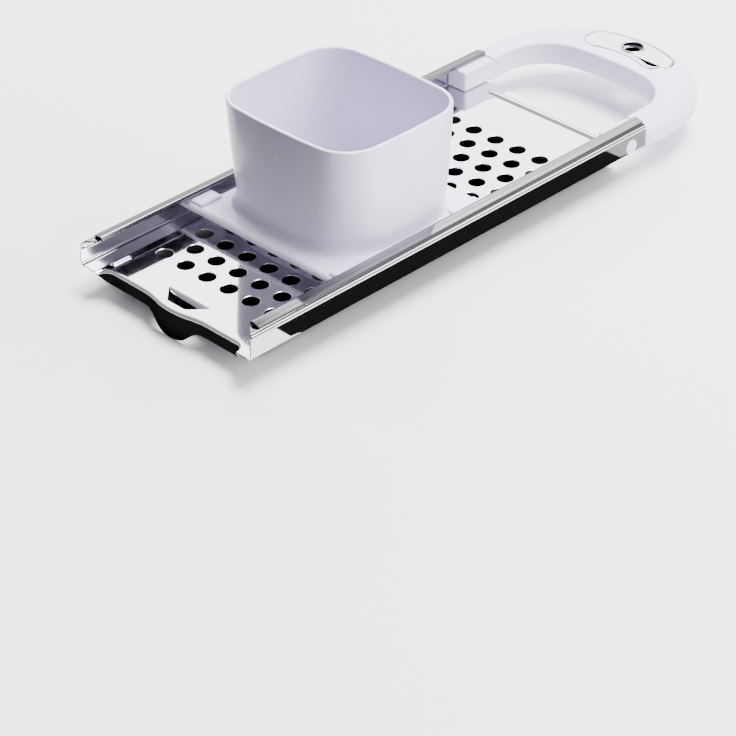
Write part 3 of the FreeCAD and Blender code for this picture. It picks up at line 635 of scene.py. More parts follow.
def rounded_run(corners: list[tuple[float, float, float]], steps: int = 5) -> list[Plan]:
    """Closed outline with rounded corners.

    Args:
        corners: Two coordinates and a radius for each corner.
        steps: Segments of each rounding.

    Returns:
        Points of the outline.
    """
    points: list[Plan] = []
    count = len(corners)
    for index, (x, y, radius) in enumerate(corners):
        here = Vector((x, y))
        if radius <= 0:
            points.append((x, y))
            continue
        before = Vector(corners[index - 1][:2]) - here
        after = Vector(corners[(index + 1) % count][:2]) - here
        opening = before.angle(after) / 2
        reach = radius / math.tan(opening)
        start, end = here + before.normalized() * reach, here + after.normalized() * reach
        centre = here + (before.normalized() + after.normalized()).normalized() * (radius / math.sin(opening))
        first = start - centre
        turn = first.angle_signed(end - centre)
        for step in range(steps + 1):
            arm = first.copy()
            arm.rotate(Matrix.Rotation(-turn * step / steps, 2))
            points.append(tuple(centre + arm))
    return points


# ---- bent sheet -----------------------------------------------------------------------------
class SheetRun:
    """Both faces of a bent sheet's section, drawn along its middle line."""

    def __init__(self, start: Plan, heading: float, sheet: float) -> None:
        """Start the run.

        Args:
            start: First point of the middle line.
            heading: Direction in degrees.
            sheet: Thickness.
        """
        self.at = Vector(start)
        self.heading = math.radians(heading)
        self.sheet = sheet
        self.middle: list[Plan] = []
        self.sides: dict[int, list[Plan]] = {1: [], -1: []}
        self.length = 0.0
        self.lengths: list[float] = []
        self._mark()

    def _left(self) -> Vector:
        """Unit vector to the left of the run."""
        return Vector((-math.sin(self.heading), math.cos(self.heading)))

    def _mark(self) -> None:
        """Keep the points of the present cut."""
        self.middle.append(tuple(self.at))
        self.lengths.append(self.length)
        for side, points in self.sides.items():
            points.append(tuple(self.at + self._left() * (side * self.sheet / 2)))

    def run(self, length: float, collar: float = 0.12) -> "SheetRun":
        """Carry on straight, with close points at both ends that keep the flat flat.

        Args:
            length: How far.
            collar: Distance of the close points from the ends.

        Returns:
            The run itself.
        """
        start = self.at.copy()
        ahead = Vector((math.cos(self.heading), math.sin(self.heading)))
        base = self.length
        for reach in (collar, length - collar, length):
            self.at = start + ahead * reach
            self.length = base + reach
            self._mark()
        return self

    def bend(self, radius: float, degrees: float, steps: int = 10) -> "SheetRun":
        """Turn about a point at the radius.

        Args:
            radius: Radius of the middle line.
            degrees: Angle, to the left if it is positive.
            steps: Segments of the bend.

        Returns:
            The run itself.
        """
        side = math.copysign(1.0, degrees)
        centre = self.at + self._left() * side * radius
        arm = self.at - centre
        begin, base = self.heading, self.length
        for step in range(1, steps + 1):
            turn = math.radians(degrees) * step / steps
            self.heading = begin + turn
            self.at = centre + Matrix.Rotation(turn, 2) @ arm
            self.length = base + abs(turn) * radius
            self._mark()
        return self


# ---- plate ----------------------------------------------------------------------------------
@dataclass
class GraterPlate:
    """Perforated channel with hemmed rails, hook lip, slot, tab and pressed ribs."""

    sheet: float = 0.6
    half: float = 55.0
    front: float = -31.0
    rail_rear: float = 220.6
    floor_rear: float = 217.0
    floor_bend: float = 2.0
    wall_top: float = 10.0
    flange_bend: float = 2.3
    flange_run: float = 3.95
    hem: float = 1.2
    hem_turn: float = 192.6
    hem_steps: int = 16
    strip_run: float = 4.05
    strip_front: float = -24.4
    bulge: float = 0.83
    lean: float = 0.5
    flange_sag: float = 3.0  # in thicknesses of the sheet
    hole: float = 3.95
    pitch: float = 14.0
    row_pitch: float = 11.78
    rows: int = 16
    wide_row: int = 6
    rim_round: float = 0.29
    hole_steps: int = 40
    lip_y: float = -26.1
    lip_half: float = 44.4
    lip_bottom: float = -6.5
    lip_bend: float = 1.7
    lip_corner_power: float = 2.4  # 2 would make the lip's lower corner a quarter of an ellipse
    swell_half: float = 22.0
    swell: float = 2.7
    tongue: tuple[Plan, ...] = ((17.5, -6.5), (12.5, -8.57), (8.4, -11.98), (0.0, -13.9))
    slot_rear: float = -15.2
    slot_rear_half: float = 14.5
    slot_front: float = -24.4
    slot_front_half: float = 5.6
    slot_corner: float = 1.5
    tab_bend: float = 3.2
    tab_run: float = 4.6
    ribs: tuple[tuple[Plan, Plan, float, float], ...] = (
        ((-36.0, 210.0), (36.0, 210.0), 5.0, 1.1),
        ((44.2, -23.0), (44.2, -11.5), 3.2, 0.8),
        ((-44.2, -23.0), (-44.2, -11.5), 3.2, 0.8),
    )
    rib_power: float = 1.3  # 1 would make a rib's section a plain cosine
    rib_core: float = 0.001  # keeps the innermost ring of a rib open

    def nose(self, z: float) -> float:
        """Front edge of a side wall.

        Args:
            z: Height.

        Returns:
            Y of the edge at that height.
        """
        top = self.wall_top + self.flange_bend
        share = z / top
        return self.front + self.lean * share - 4 * self.bulge * share * (1 - share)

    def sweep(self, x: float) -> float:
        """Front edge of a flange.

        Args:
            x: Distance from the middle.

        Returns:
            Y of the edge at that distance.
        """
        inner = self.half - self.flange_bend - self.flange_run - self.hem
        share = (self.half - x) / (self.half - inner)
        straight = (self.front + self.lean) * (1 - share) + self.strip_front * share
        return straight - self.flange_sag * self.sheet * share * (1 - share)

    def rail(self) -> Skin:
        """Right wall, flange and open hem as one folded strip.

        Returns:
            Skin of the strip, closed at its ends and open where it meets the floor.
        """
        run = SheetRun((self.half - self.floor_bend, self.sheet / 2), 0, self.sheet)
        run.bend(self.floor_bend - self.sheet / 2, 90)
        run.run(self.wall_top - self.floor_bend)
        wall_end = run.length
        run.bend(self.flange_bend - self.sheet / 2, 90)
        run.run(self.flange_run)
        flange_end = run.length
        run.bend(self.hem - self.sheet / 2, -self.hem_turn, self.hem_steps)
        run.run(self.strip_run)
        fronts = []
        for (x, z), length in zip(run.middle, run.lengths):
            if length <= wall_end:
                fronts.append(self.nose(z))
            elif length <= flange_end:
                fronts.append(self.sweep(x))
            else:
                fronts.append(self.strip_front)
        outline = run.sides[1] + run.sides[-1][::-1]
        starts = fronts + fronts[::-1]
        skin = Skin()
        near = [(x, y, z) for (x, z), y in zip(outline, starts)]
        far = [(x, self.rail_rear, z) for x, z in outline]
        skin.grid([near, far], rows_close=True)
        for side_y in (fronts, [self.rail_rear] * len(fronts)):
            rows = [[(x, y, z) for (x, z), y in zip(run.sides[side], side_y)] for side in (1, -1)]
            skin.grid(rows)
        return skin

    def fold(self, steps: int = 12) -> list[tuple[Plan, Plan]]:
        """Line of the lip's outer face in plan, left to right.

        Args:
            steps: Segments of each arc; the middle one has twice as many.

        Returns:
            Points, each with the way from it back into the floor.
        """
        end_radius = self.lip_y - self.front
        end_x = self.lip_half - end_radius
        swell_radius = (self.swell_half ** 2 + self.swell ** 2) / (4 * self.swell)
        lean = math.asin(self.swell_half / 2 / swell_radius)

        def arc(centre: Plan, radius: float, turns: Plan, count: int, side: int) -> list[tuple[Plan, Plan]]:
            """Part of the line.

            Args:
                centre: Centre of the arc.
                radius: Its radius.
                turns: Directions of its first and last point.
                count: Its segments.
                side: 1 where the floor lies outside the arc and -1 where it lies inside.

            Returns:
                Points with their ways back.
            """
            first, last = turns
            steps_round = [first + (last - first) * step / count for step in range(count + 1)]
            ways = [(math.cos(turn), math.sin(turn)) for turn in steps_round]
            return [((centre[0] + radius * x, centre[1] + radius * y), (side * x, side * y)) for x, y in ways]

        up = math.pi / 2
        ahead = self.lip_y - swell_radius
        behind = self.lip_y - self.swell + swell_radius
        left = arc((-end_x, self.front), end_radius, (math.pi, up), steps, 1)
        left += arc((-self.swell_half, ahead), swell_radius, (up, up - lean), steps, 1)
        middle = arc((0.0, behind), swell_radius, (-up - lean, -up + lean), 2 * steps, -1)
        right = [((-x, y), (-back_x, back_y)) for (x, y), (back_x, back_y) in left[::-1]]
        return left + middle[1:-1] + right

    def underline(self, x: float) -> float:
        """Lower edge of the lip.

        Args:
            x: Place across.

        Returns:
            Height of the edge there.
        """
        x = abs(x)
        corner = self.lip_y - self.front
        shoulder = self.lip_half - corner
        if x >= self.lip_half:
            return -self.sheet
        if x > shoulder:
            share = (x - shoulder) / corner
            drop = self.lip_bottom + self.sheet
            return -self.sheet + drop * math.sqrt(max(0.0, 1 - share ** self.lip_corner_power))
        if x >= self.tongue[0][0]:
            return self.lip_bottom
        return self.tongue_line(x)

    def tongue_line(self, x: float, passes: int = 40) -> float:
        """Lower edge of the tongue, by the clamped cubic through its points.

        Args:
            x: Place across.
            passes: How often the slopes at the inner points are evened out.

        Returns:
            Height of the edge there.
        """
        knots = [(-px, pz) for px, pz in self.tongue]
        slopes = [0.0] * len(knots)
        for _ in range(passes):
            for index in range(1, len(knots) - 1):
                (xa, za), (xb, zb), (xc, zc) = knots[index - 1:index + 2]
                ha, hb = xb - xa, xc - xb
                pull = 3 * ((zb - za) * hb / ha + (zc - zb) * ha / hb)
                slopes[index] = (pull - slopes[index - 1] * hb - slopes[index + 1] * ha) / (2 * (ha + hb))
        x = -abs(x)
        for index in range(len(knots) - 1):
            (xa, za), (xb, zb) = knots[index], knots[index + 1]
            if xa <= x <= xb:
                span = xb - xa
                t = (x - xa) / span
                rise = (2 * t ** 3 - 3 * t ** 2 + 1) * za + (3 * t ** 2 - 2 * t ** 3) * zb
                lift = (t ** 3 - 2 * t ** 2 + t) * slopes[index] + (t ** 3 - t ** 2) * slopes[index + 1]
                return rise + span * lift
        return self.lip_bottom

    def lip(self, steps: int = 8, drops: int = 4) -> Skin:
        """Front edge folded down along its line, with the tongue.

        Args:
            steps: Segments of the bend.
            drops: Segments of the part that hangs straight down.

        Returns:
            Skin of the lip, open where it meets the floor.
        """
        outer_rows, inner_rows = [], []
        inner_bend = self.lip_bend - self.sheet
        for (x, y), (back_x, back_y) in self.fold():
            low = self.underline(x)
            share = min(1.0, (self.sheet - low) / self.lip_bend)
            limit = math.acos(1 - share)
            outer, inner = [], []
            for step in range(steps + 1):
                turn = limit * step / steps
                for row, radius in ((outer, self.lip_bend), (inner, inner_bend)):
                    inset = self.lip_bend - radius * math.sin(turn)
                    height = self.sheet - self.lip_bend + radius * math.cos(turn)
                    row.append((x + back_x * inset, y + back_y * inset, height))
            for row in (outer, inner):
                foot_x, foot_y, start = row[-1]
                for drop in range(1, drops + 1):
                    row.append((foot_x, foot_y, start + min(0.0, low - start) * drop / drops))
            outer_rows.append(outer)
            inner_rows.append(inner)
        skin = Skin()
        skin.grid(outer_rows)
        skin.grid(inner_rows)
        for edge in (0, -1):
            skin.grid([[row[edge] for row in outer_rows], [row[edge] for row in inner_rows]])
            skin.grid([outer_rows[edge], inner_rows[edge]])
        return skin

    def slot_half(self, length: float) -> float:
        """Half width of the slot and its tab at a distance from the bend's start."""
        slope = (self.slot_rear_half - self.slot_front_half) / (self.slot_rear - self.slot_front)
        return self.slot_rear_half - slope * length

    def tab(self) -> Skin:
        """Tongue of sheet pushed down out of the slot.

        Returns:
            Skin of the tab.
        """
        run = SheetRun((self.slot_rear, self.sheet / 2), 180, self.sheet)
        run.bend(self.tab_bend - self.sheet / 2, 90)
        run.run(self.tab_run)
        whole = run.length
        faces = []
        for side in (1, -1):
            rows = []
            for (y, z), length in zip(run.sides[side], run.lengths):
                half = self.slot_half(length * (self.slot_rear - self.slot_front) / whole)
                left = self.slot_corner - (whole - length)
                if left > 0:
                    half -= self.slot_corner - math.sqrt(self.slot_corner ** 2 - left ** 2)
                rows.append([(half * share, y, z) for share in (-1.0, -0.5, 0.0, 0.5, 1.0)])
            faces.append(rows)
        skin = Skin()
        for rows in faces:
            skin.grid(rows)
        for index in (0, -1):
            skin.grid([faces[0][index], faces[1][index]])
            skin.grid([[row[index] for row in faces[0]], [row[index] for row in faces[1]]])
        return skin

    def stadium(self, first: Plan, last: Plan, radius: float, steps: int = 12) -> list[Plan]:
        """Outline round a straight run, always with the same number of points.

        Args:
            first: Start of the run.
            last: End of the run.
            radius: Distance from it.
            steps: Segments of each half round end.

        Returns:
            Points of the outline.
        """
        start, end = Vector(first), Vector(last)
        along = (end - start).normalized()
        across = Vector((-along.y, along.x))
        points = []
        for centre, side in ((end, 1), (start, -1)):
            for step in range(steps + 1):
                turn = math.pi * step / steps
                arm = across * -side * math.cos(turn) + along * side * math.sin(turn)
                points.append(tuple(centre + arm * radius))
        return points

    def rib(self, first: Plan, last: Plan, width: float, rise: float, rings: int = 8) -> Skin:
        """Straight pressed rib: a soft swelling of the sheet, above and below.

        Args:
            first: One end in plan.
            last: The other end.
            width: Its width.
            rise: Its height above the floor.
            rings: Rings from its middle line to its edge.

        Returns:
            Skin of the rib, open where it meets the floor.
        """
        start, end = Vector(first), Vector(last)
        inset = (end - start).normalized() * (width / 2)
        first, last = tuple(start + inset), tuple(end - inset)
        skin = Skin()
        for base in (self.sheet, 0.0):
            rows = []
            for ring in range(rings + 1):
                share = ring / rings
                height = base + rise * 0.5 * (1 + math.cos(math.pi * share ** self.rib_power))
                ring_line = self.stadium(first, last, share * width / 2 + self.rib_core)
                rows.append([(x, y, height) for x, y in ring_line])
            skin.grid(rows, rows_close=True)
            skin.fill([rows[0]])
        return skin

    def floor_outline(self) -> list[Plan]:
        """Outer edge of the flat floor, where it meets the bends.

        Returns:
            Points of the edge.
        """
        side = self.half - self.floor_bend
        fold = [(x + back_x * self.lip_bend, y + back_y * self.lip_bend)
                for (x, y), (back_x, back_y) in self.fold()]
        rear = [(side, self.floor_rear), (-side, self.floor_rear)]
        return [(side, self.front)] + rear + [(-side, self.front)] + fold

    def slot_outline(self) -> list[Plan]:
        """Edge of the slot in plan.

        Returns:
            Points of the edge.
        """
        right = [(self.slot_front_half, self.slot_front, self.slot_corner),
                 (self.slot_rear_half, self.slot_rear, 0.0)]
        return rounded_run([(-x, y, radius) for x, y, radius in right[::-1]] + right)

    def loops(self) -> list[list[Plan]]:
        """All edges of the flat floor but the holes.

        Returns:
            One closed run of points for each edge.
        """
        loops = [self.floor_outline(), self.slot_outline()]
        for first, last, width, _ in self.ribs:
            inset = (Vector(last) - Vector(first)).normalized() * (width / 2)
            ends = tuple(Vector(first) + inset), tuple(Vector(last) - inset)
            loops.append(self.stadium(*ends, width / 2 + self.rib_core))
        return loops

    def floor(self, steel: bpy.types.Material) -> bpy.types.Mesh:
        """Flat floor with its holes, made by Geometry Nodes from its edges.

        Args:
            steel: Material of the plate.

        Returns:
            The floor's mesh.
        """
        edges = bpy.data.meshes.new("floor_edges")
        points, links = [], []
        for loop in self.loops():
            base = len(points)
            points += [(x * MM, y * MM, 0.0) for x, y in loop]
            links += [(base + index, base + (index + 1) % len(loop)) for index in range(len(loop))]
        edges.from_pydata(points, links, [])
        host = shown("floor_host", edges)
        turn = [math.radians(angle) for angle in (0, 30, 60, 90)]
        lead = self.rim_round
        down = [(self.hole + lead - lead * math.sin(a), self.sheet - lead + lead * math.cos(a)) for a in turn]
        outline = down + [(radius, self.sheet - height) for radius, height in down[::-1]]
        rows = [[(radius * math.cos(step), radius * math.sin(step), height) for radius, height in outline]
                for step in (math.tau * index / self.hole_steps for index in range(self.hole_steps))]
        ring = Skin()
        ring.grid(rows, ends_close=True)
        rim = shown("hole_rim", ring.mesh("hole_rim"))
        PerforatedFloor().apply(host, rim, steel, self)
        mesh = baked(host, "floor")
        dropped(host, rim)
        return mesh

    def walls(self) -> Skin:
        """Cut edges of the floor: rear edge, corner fronts and slot.

        Returns:
            Skin of the edges.
        """
        side = self.half - self.floor_bend
        start = self.lip_half + self.lip_bend
        runs = [[(-side, self.floor_rear), (side, self.floor_rear)],
                [(-side, self.front), (-start, self.front)], [(start, self.front), (side, self.front)],
                self.slot_outline()]
        skin = Skin()
        for run in runs:
            skin.grid([[(x, y, self.sheet) for x, y in run], [(x, y, 0.0) for x, y in run]])
        return skin

    def build(self, steel: bpy.types.Material) -> bpy.types.Object:
        """The whole plate in one piece.

        Args:
            steel: Its material.

        Returns:
            The plate.
        """
        parts = [self.floor(steel), self.rail().mesh("rails", mirrored=True), self.lip().mesh("lip"),
                 self.tab().mesh("tab"), self.walls().mesh("edges")]
        parts += [self.rib(*rib).mesh("rib") for rib in self.ribs]
        return dressed("plate", joined("plate", parts), steel, Body.CHANNEL, "grater_plate")


class PerforatedFloor:
    """Geometry Nodes tree that fills the floor's edges and punches its staggered holes."""

    INPUTS = {"Edges": "Geometry", "Rim": "Object", "Steel": "Material", "Mouth Radius": "Float",
              "Steps": "Int", "Thickness": "Float", "Pitch": "Float", "Row Pitch": "Float",
              "Rows": "Int", "Wide Row": "Int"}

    def __init__(self) -> None:
        """Build the tree."""
        self.tree = bpy.data.node_groups.new("perforated_floor", "GeometryNodeTree")
        self.sockets: dict[str, str] = {}
        for name, kind in self.INPUTS.items():
            item = self.tree.interface.new_socket(name=name, in_out="INPUT", socket_type=f"NodeSocket{kind}")
            self.sockets[name] = item.identifier
        self.tree.interface.new_socket(name="Sheet", in_out="OUTPUT", socket_type="NodeSocketGeometry")
        self.entry = self.tree.nodes.new("NodeGroupInput")
        self._wire()

    def _node(self, kind: str, inputs: dict, **settings: object) -> bpy.types.Node:
        """Node of this tree, with its inputs by name or number and its properties."""
        return planted(self.tree, kind, settings, inputs)

    def _maths(self, operation: str, *operands: object) -> bpy.types.NodeSocket:
        """Result of a Math node.

        Args:
            operation: Name of the operation.
            operands: Sockets or numbers.

        Returns:
            Output socket.
        """
        return self._node("ShaderNodeMath", dict(enumerate(operands)), operation=operation).outputs[0]

    def _moved(self, thing: bpy.types.NodeSocket, y: object, z: object) -> bpy.types.NodeSocket:
        """Geometry moved along Y and Z."""
        place = self._node("ShaderNodeCombineXYZ", {"Y": y, "Z": z}).outputs[0]
        return self._node("GeometryNodeTransform", {"Geometry": thing, "Translation": place}).outputs[0]

    def _rows(self, count: object, first: object) -> bpy.types.NodeSocket:
        """Points of every second row of holes.

        Args:
            count: Holes in a row.
            first: Y of the first of these rows.

        Returns:
            Geometry socket.
        """
        given = self.entry.outputs
        lines = self._maths("MULTIPLY", given["Rows"], 0.5)
        step = self._maths("MULTIPLY", given["Row Pitch"], 2.0)
        wide = self._maths("MULTIPLY", self._maths("SUBTRACT", count, 1.0), given["Pitch"])
        deep = self._maths("MULTIPLY", self._maths("SUBTRACT", lines, 1.0), step)
        sizes = {"Size X": wide, "Size Y": deep, "Vertices X": count, "Vertices Y": lines}
        grid = self._node("GeometryNodeMeshGrid", sizes).outputs["Mesh"]
        middle = self._maths("ADD", self._maths("MULTIPLY", deep, 0.5), first)
        return self._moved(grid, middle, 0.0)

    def _wire(self) -> None:
        """Lay out the whole tree."""
        given = self.entry.outputs
        fewer = self._maths("SUBTRACT", given["Wide Row"], 1.0)
        first = self._rows(given["Wide Row"], 0.0)
        second = self._rows(fewer, given["Row Pitch"])
        spots = self._node("GeometryNodeJoinGeometry", {"Geometry": [first, second]}).outputs[0]
        round_sizes = {"Resolution": given["Steps"], "Radius": given["Mouth Radius"]}
        mouth = self._node("GeometryNodeCurvePrimitiveCircle", round_sizes).outputs[0]
        mouths = self._node("GeometryNodeInstanceOnPoints", {"Points": spots, "Instance": mouth}).outputs[0]
        mouths = self._node("GeometryNodeRealizeInstances", {"Geometry": mouths}).outputs[0]
        edges = self._node("GeometryNodeMeshToCurve", {"Mesh": given["Edges"]}).outputs[0]
        curves = self._node("GeometryNodeJoinGeometry", {"Geometry": [edges, mouths]}).outputs[0]
        below = self._node("GeometryNodeFillCurve", {"Curve": curves}).outputs[0]
        above = self._moved(below, 0.0, given["Thickness"])
        below = self._node("GeometryNodeFlipFaces", {"Mesh": below}).outputs[0]
        rim = self._node("GeometryNodeObjectInfo", {"Object": given["Rim"]}).outputs["Geometry"]
        rims = self._node("GeometryNodeInstanceOnPoints", {"Points": spots, "Instance": rim}).outputs[0]
        whole = self._node("GeometryNodeJoinGeometry", {"Geometry": [below, above, rims]}).outputs[0]
        whole = self._node("GeometryNodeRealizeInstances", {"Geometry": whole}).outputs[0]
        welded = {"Geometry": whole, "Distance": FLOOR_WELD}
        whole = self._node("GeometryNodeMergeByDistance", welded).outputs[0]
        finished = {"Geometry": whole, "Material": given["Steel"]}
        whole = self._node("GeometryNodeSetMaterial", finished).outputs[0]
        self._node("NodeGroupOutput", {"Sheet": whole})

    def apply(self, host: bpy.types.Object, rim: bpy.types.Object, steel: bpy.types.Material,
              plate: GraterPlate) -> None:
        """Put the tree on the object that holds the floor's edges.

        Args:
            host: Object with the edges.
            rim: Rounded wall of one hole.
            steel: Material.
            plate: Sizes.
        """
        modifier = host.modifiers.new("perforated_floor", "NODES")
        modifier.node_group = self.tree
        values = {"Rim": rim, "Steel": steel, "Mouth Radius": (plate.hole + plate.rim_round) * MM,
                  "Steps": plate.hole_steps, "Thickness": plate.sheet * MM, "Pitch": plate.pitch * MM,
                  "Row Pitch": plate.row_pitch * MM, "Rows": plate.rows, "Wide Row": plate.wide_row}
        for name, value in values.items():
            modifier[self.sockets[name]] = value


def dressed(name: str, mesh: bpy.types.Mesh, material: bpy.types.Material, body: Body,
            node: str) -> bpy.types.Object:
    """Finished piece: smooth, in its material, on its body and in place of its CAD node.

    Args:
        name: Name of the piece.
        mesh: Its mesh.
        material: Its material.
        body: Body that it rides on.
        node: CAD node that it stands for.

    Returns:
        The piece.
    """
    mesh.name = name
    mesh.materials.clear()
    mesh.materials.append(material)
    for face in mesh.polygons:
        face.material_index = 0
    mesh.shade_smooth()
    mesh.set_sharp_from_angle(angle=SHARP)
    thing = shown(name, mesh)
    even = thing.modifiers.new("even_normals", "WEIGHTED_NORMAL")
    even.keep_sharp = True
    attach(thing, body.value)
    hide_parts(node)
    LOG.info("%s: %d faces", name, len(mesh.polygons))
    return thing


# ---- hopper ---------------------------------------------------------------------------------
@dataclass
class Hopper:
    """Square cup on a raised base, whose four wings and guide pads run under the flanges."""

    middle_y: float = 74.9
    bottom: float = 0.8
    top: float = 62.4
    top_half: Plan = (44.1, 38.95)
    top_bulge: float = 347.0
    top_corner: float = 18.8
    foot_half: Plan = (42.5, 37.95)
    foot_bulge: float = 200.0
    foot_corner: float = 22.7
    curve: float = 1.25
    wall: float = 1.9
    lip: float = 0.8
    flare: float = 6.0
    flare_turn: float = 80.0
    flare_side: float = 0.15
    base_y: Plan = (26.0, 119.7)
    base_z: Plan = (6.7, 9.9)
    base_half: float = 54.1
    base_edge: float = 2.3
    base_rim: float = 1.8
    base_wall: float = 2.0
    wings: Plan = (40.5, 100.5)
    waist: float = 43.5
    wing_corner: float = 1.0
    edge: float = 0.3
    edge_steps: int = 3
    throat_gap: float = 0.02  # overlap of the base with the cup's wall
    throat_reach: float = 2.0  # how far the throat's cutter stands out
    pad_inner: float = 40.5
    pad_top: float = 11.4
    pad_foot: float = 0.1  # above the ceiling of the base's pocket
    pad_set_back: float = 1.6
    pad_round: float = 1.3

    def outline(self, height: float, inset: float, flare: float = 0.0, steps: int = 10) -> list[Point]:
        """Outline of the cup at a height: shallow arcs joined by tangent corner arcs.

        Args:
            height: Height that gives the shape.
            inset: How far it is moved inwards.
            flare: How far its front and rear are moved outwards.
            steps: Points on each arc.

        Returns:
            Points of the closed outline.
        """
        share = max(0.0, min(1.0, (self.top - height) / (self.top - self.base_z[1]))) ** self.curve
        half_x, half_y = [a + (b - a) * share - inset for a, b in zip(self.top_half, self.foot_half)]
        half_x, half_y = half_x + flare * self.flare_side, half_y + flare
        bulge = self.top_bulge + (self.foot_bulge - self.top_bulge) * share - inset + flare
        corner = self.top_corner + (self.foot_corner - self.top_corner) * share - inset + flare / 2
        end_centre, side_centre = Vector((0, half_y - bulge)), Vector((half_x - bulge, 0))
        halfway = (side_centre - end_centre) / 2
        lift = math.sqrt((bulge - corner) ** 2 - halfway.length_squared)
        centre = (end_centre + side_centre) / 2 + Vector((halfway.y, -halfway.x)).normalized() * lift
        side_turn = math.asin(centre.y / (bulge - corner))
        end_turn = math.asin(centre.x / (bulge - corner))
        quarter = []
        for step in range(steps + 1):
            turn = side_turn * step / steps
            quarter.append((side_centre.x + bulge * math.cos(turn), bulge * math.sin(turn)))
        for step in range(1, steps):
            turn = side_turn + (math.pi / 2 - end_turn - side_turn) * step / steps
            quarter.append((centre.x + corner * math.cos(turn), centre.y + corner * math.sin(turn)))
        for step in range(steps + 1):
            turn = math.pi / 2 - end_turn * (1 - step / steps)
            quarter.append((bulge * math.cos(turn), end_centre.y + bulge * math.sin(turn)))
        half = quarter + [(-x, y) for x, y in quarter[-2::-1]]
        whole = half + [(x, -y) for x, y in half[-2:0:-1]]
        return [(x, y + self.middle_y, height) for x, y in whole]

    def at_height(self, height: float, outline: list[Point]) -> list[Point]:
        """Outline set at another height."""
        return [(x, y, height) for x, y, _ in outline]

    def rim(self, steps: int) -> list[list[Point]]:
        """Rings over the rounded rim, from the inner wall to the outer one.

        Args:
            steps: Segments of each quarter round.

        Returns:
            The rings.
        """
        rings = []
        for centre, start in ((self.wall - self.lip, math.pi), (self.lip, math.pi / 2)):
            for step in range(steps + 1):
                turn = start - math.pi / 2 * step / steps
                height = self.top - self.lip + self.lip * math.sin(turn)
                ring = self.outline(self.top, centre - self.lip * math.cos(turn))
                rings.append(self.at_height(height, ring))
        return rings

    def cup(self, rows: int = 16, steps: int = 6) -> Skin:
        """Cup with its rounded rim; its front and rear run out on to the base in a hollow curve.

        Args:
            rows: Rings of the inner wall, of the outer wall and of the hollow curve.
            steps: Segments of each quarter round of the rim.

        Returns:
            Skin of the cup.
        """
        base_top = self.base_z[1]
        shoulder = self.top - self.lip
        whole = math.radians(self.flare_turn)
        start = base_top + self.flare * math.sin(whole)
        heights = [self.bottom + (shoulder - self.bottom) * row / rows for row in range(rows + 1)]
        rings = [self.outline(height, self.wall) for height in heights] + self.rim(steps)
        for row in range(1, rows + 1):
            rings.append(self.outline(shoulder + (start - shoulder) * row / rows, 0.0))
        for step in range(1, rows + 1):
            turn = whole * step / rows
            height = start - self.flare * math.sin(turn)
            rings.append(self.outline(height, 0.0, self.flare * (1 - math.cos(turn))))
        buried = base_top - self.base_wall / 2
        rings.append(self.at_height(buried, rings[-1]))
        rings.append(self.outline(buried, 0.0))
        rings.append(self.outline(self.bottom, 0.0))
        skin = Skin()
        skin.grid(rings, rows_close=True, ends_close=True)
        return skin

    def plan(self, end: float, side: float, height: float) -> list[Point]:
        """Outline of the base, full width before and behind the cup.

        Args:
            end: How far the front and rear edges are moved inwards.
            side: How far all other edges are moved inwards.
            height: Its height.

        Returns:
            Points of the closed outline.
        """
        wide, slim = self.base_half - side, self.waist - side
        near, far = self.wings[0] - side, self.wings[1] + side
        right = [(wide, self.base_y[0] + end, self.edge), (wide, near, self.edge),
                 (slim, near, self.wing_corner), (slim, far, self.wing_corner),
                 (wide, far, self.edge), (wide, self.base_y[1] - end, self.edge)]
        left = [(-x, y, radius) for x, y, radius in right[::-1]]
        return [(x, y, height) for x, y in rounded_run(right + left, steps=4)]

    def base(self, steps: int = 10) -> bpy.types.Mesh:
        """Base with its front and rear edges rolled, hollow underneath and open inside the cup.

        Args:
            steps: Segments of the rolled edges.

        Returns:
            Mesh of the base.
        """
        bottom, top = self.base_z

        def rolled(height: float, radius: float) -> float:
            """How far a rounded edge is moved inwards at a height."""
            return radius - math.sqrt(radius ** 2 - max(0.0, height - top + radius) ** 2)

        heights = [top - self.base_edge + self.base_edge * math.sin(math.pi / 2 * step / steps)
                   for step in range(steps + 1)]
        heights += [top - self.edge + self.edge * math.sin(math.pi / 2 * step / self.edge_steps)
                    for step in range(self.edge_steps)]
        pocket = self.base_rim
        ceiling = top - self.base_wall
        rings = [self.plan(pocket, pocket, ceiling), self.plan(pocket, pocket, bottom),
                 self.plan(self.edge, self.edge, bottom), self.plan(0.0, 0.0, bottom + self.edge)]
        for height in sorted(heights):
            rings.append(self.plan(rolled(height, self.base_edge), rolled(height, self.edge), height))
        skin = Skin()
        skin.grid(rings, rows_close=True)
        skin.fill([rings[0]])
        skin.fill([rings[-1]])
        hole = Skin()
        low, high = [self.at_height(height, self.outline(self.bottom, self.wall - self.throat_gap))
                     for height in (bottom - self.throat_reach, top + self.throat_reach)]
        hole.grid([low, high], rows_close=True)
        hole.fill([low])
        hole.fill([high])
        return carved("base", skin.mesh("base"), [hole.mesh("base_hole")])

    def pads(self) -> list[bpy.types.Mesh]:
        """Four guide pads on the wings.

        Returns:
            Their meshes.
        """
        low = self.base_z[1] - self.base_wall + self.pad_foot
        meshes = []
        for start, end in ((self.base_y[0] + self.pad_set_back, self.wings[0]),
                           (self.wings[1], self.base_y[1] - self.pad_set_back)):
            for side in (-1, 1):
                low_x, high_x = sorted((side * self.pad_inner, side * self.base_half))
                high = (high_x, end, self.pad_top)
                meshes.append(block((low_x, start, low), high, self.pad_round, steps=5))
        return meshes

    def build(self, plastic: bpy.types.Material) -> bpy.types.Object:
        """The whole hopper.

        Args:
            plastic: Its material.

        Returns:
            The hopper.
        """
        whole = joined("hopper_cup", [self.cup().mesh("cup"), self.base()] + self.pads())
        return dressed("hopper_cup", whole, plastic, Body.HOPPER, "hopper")


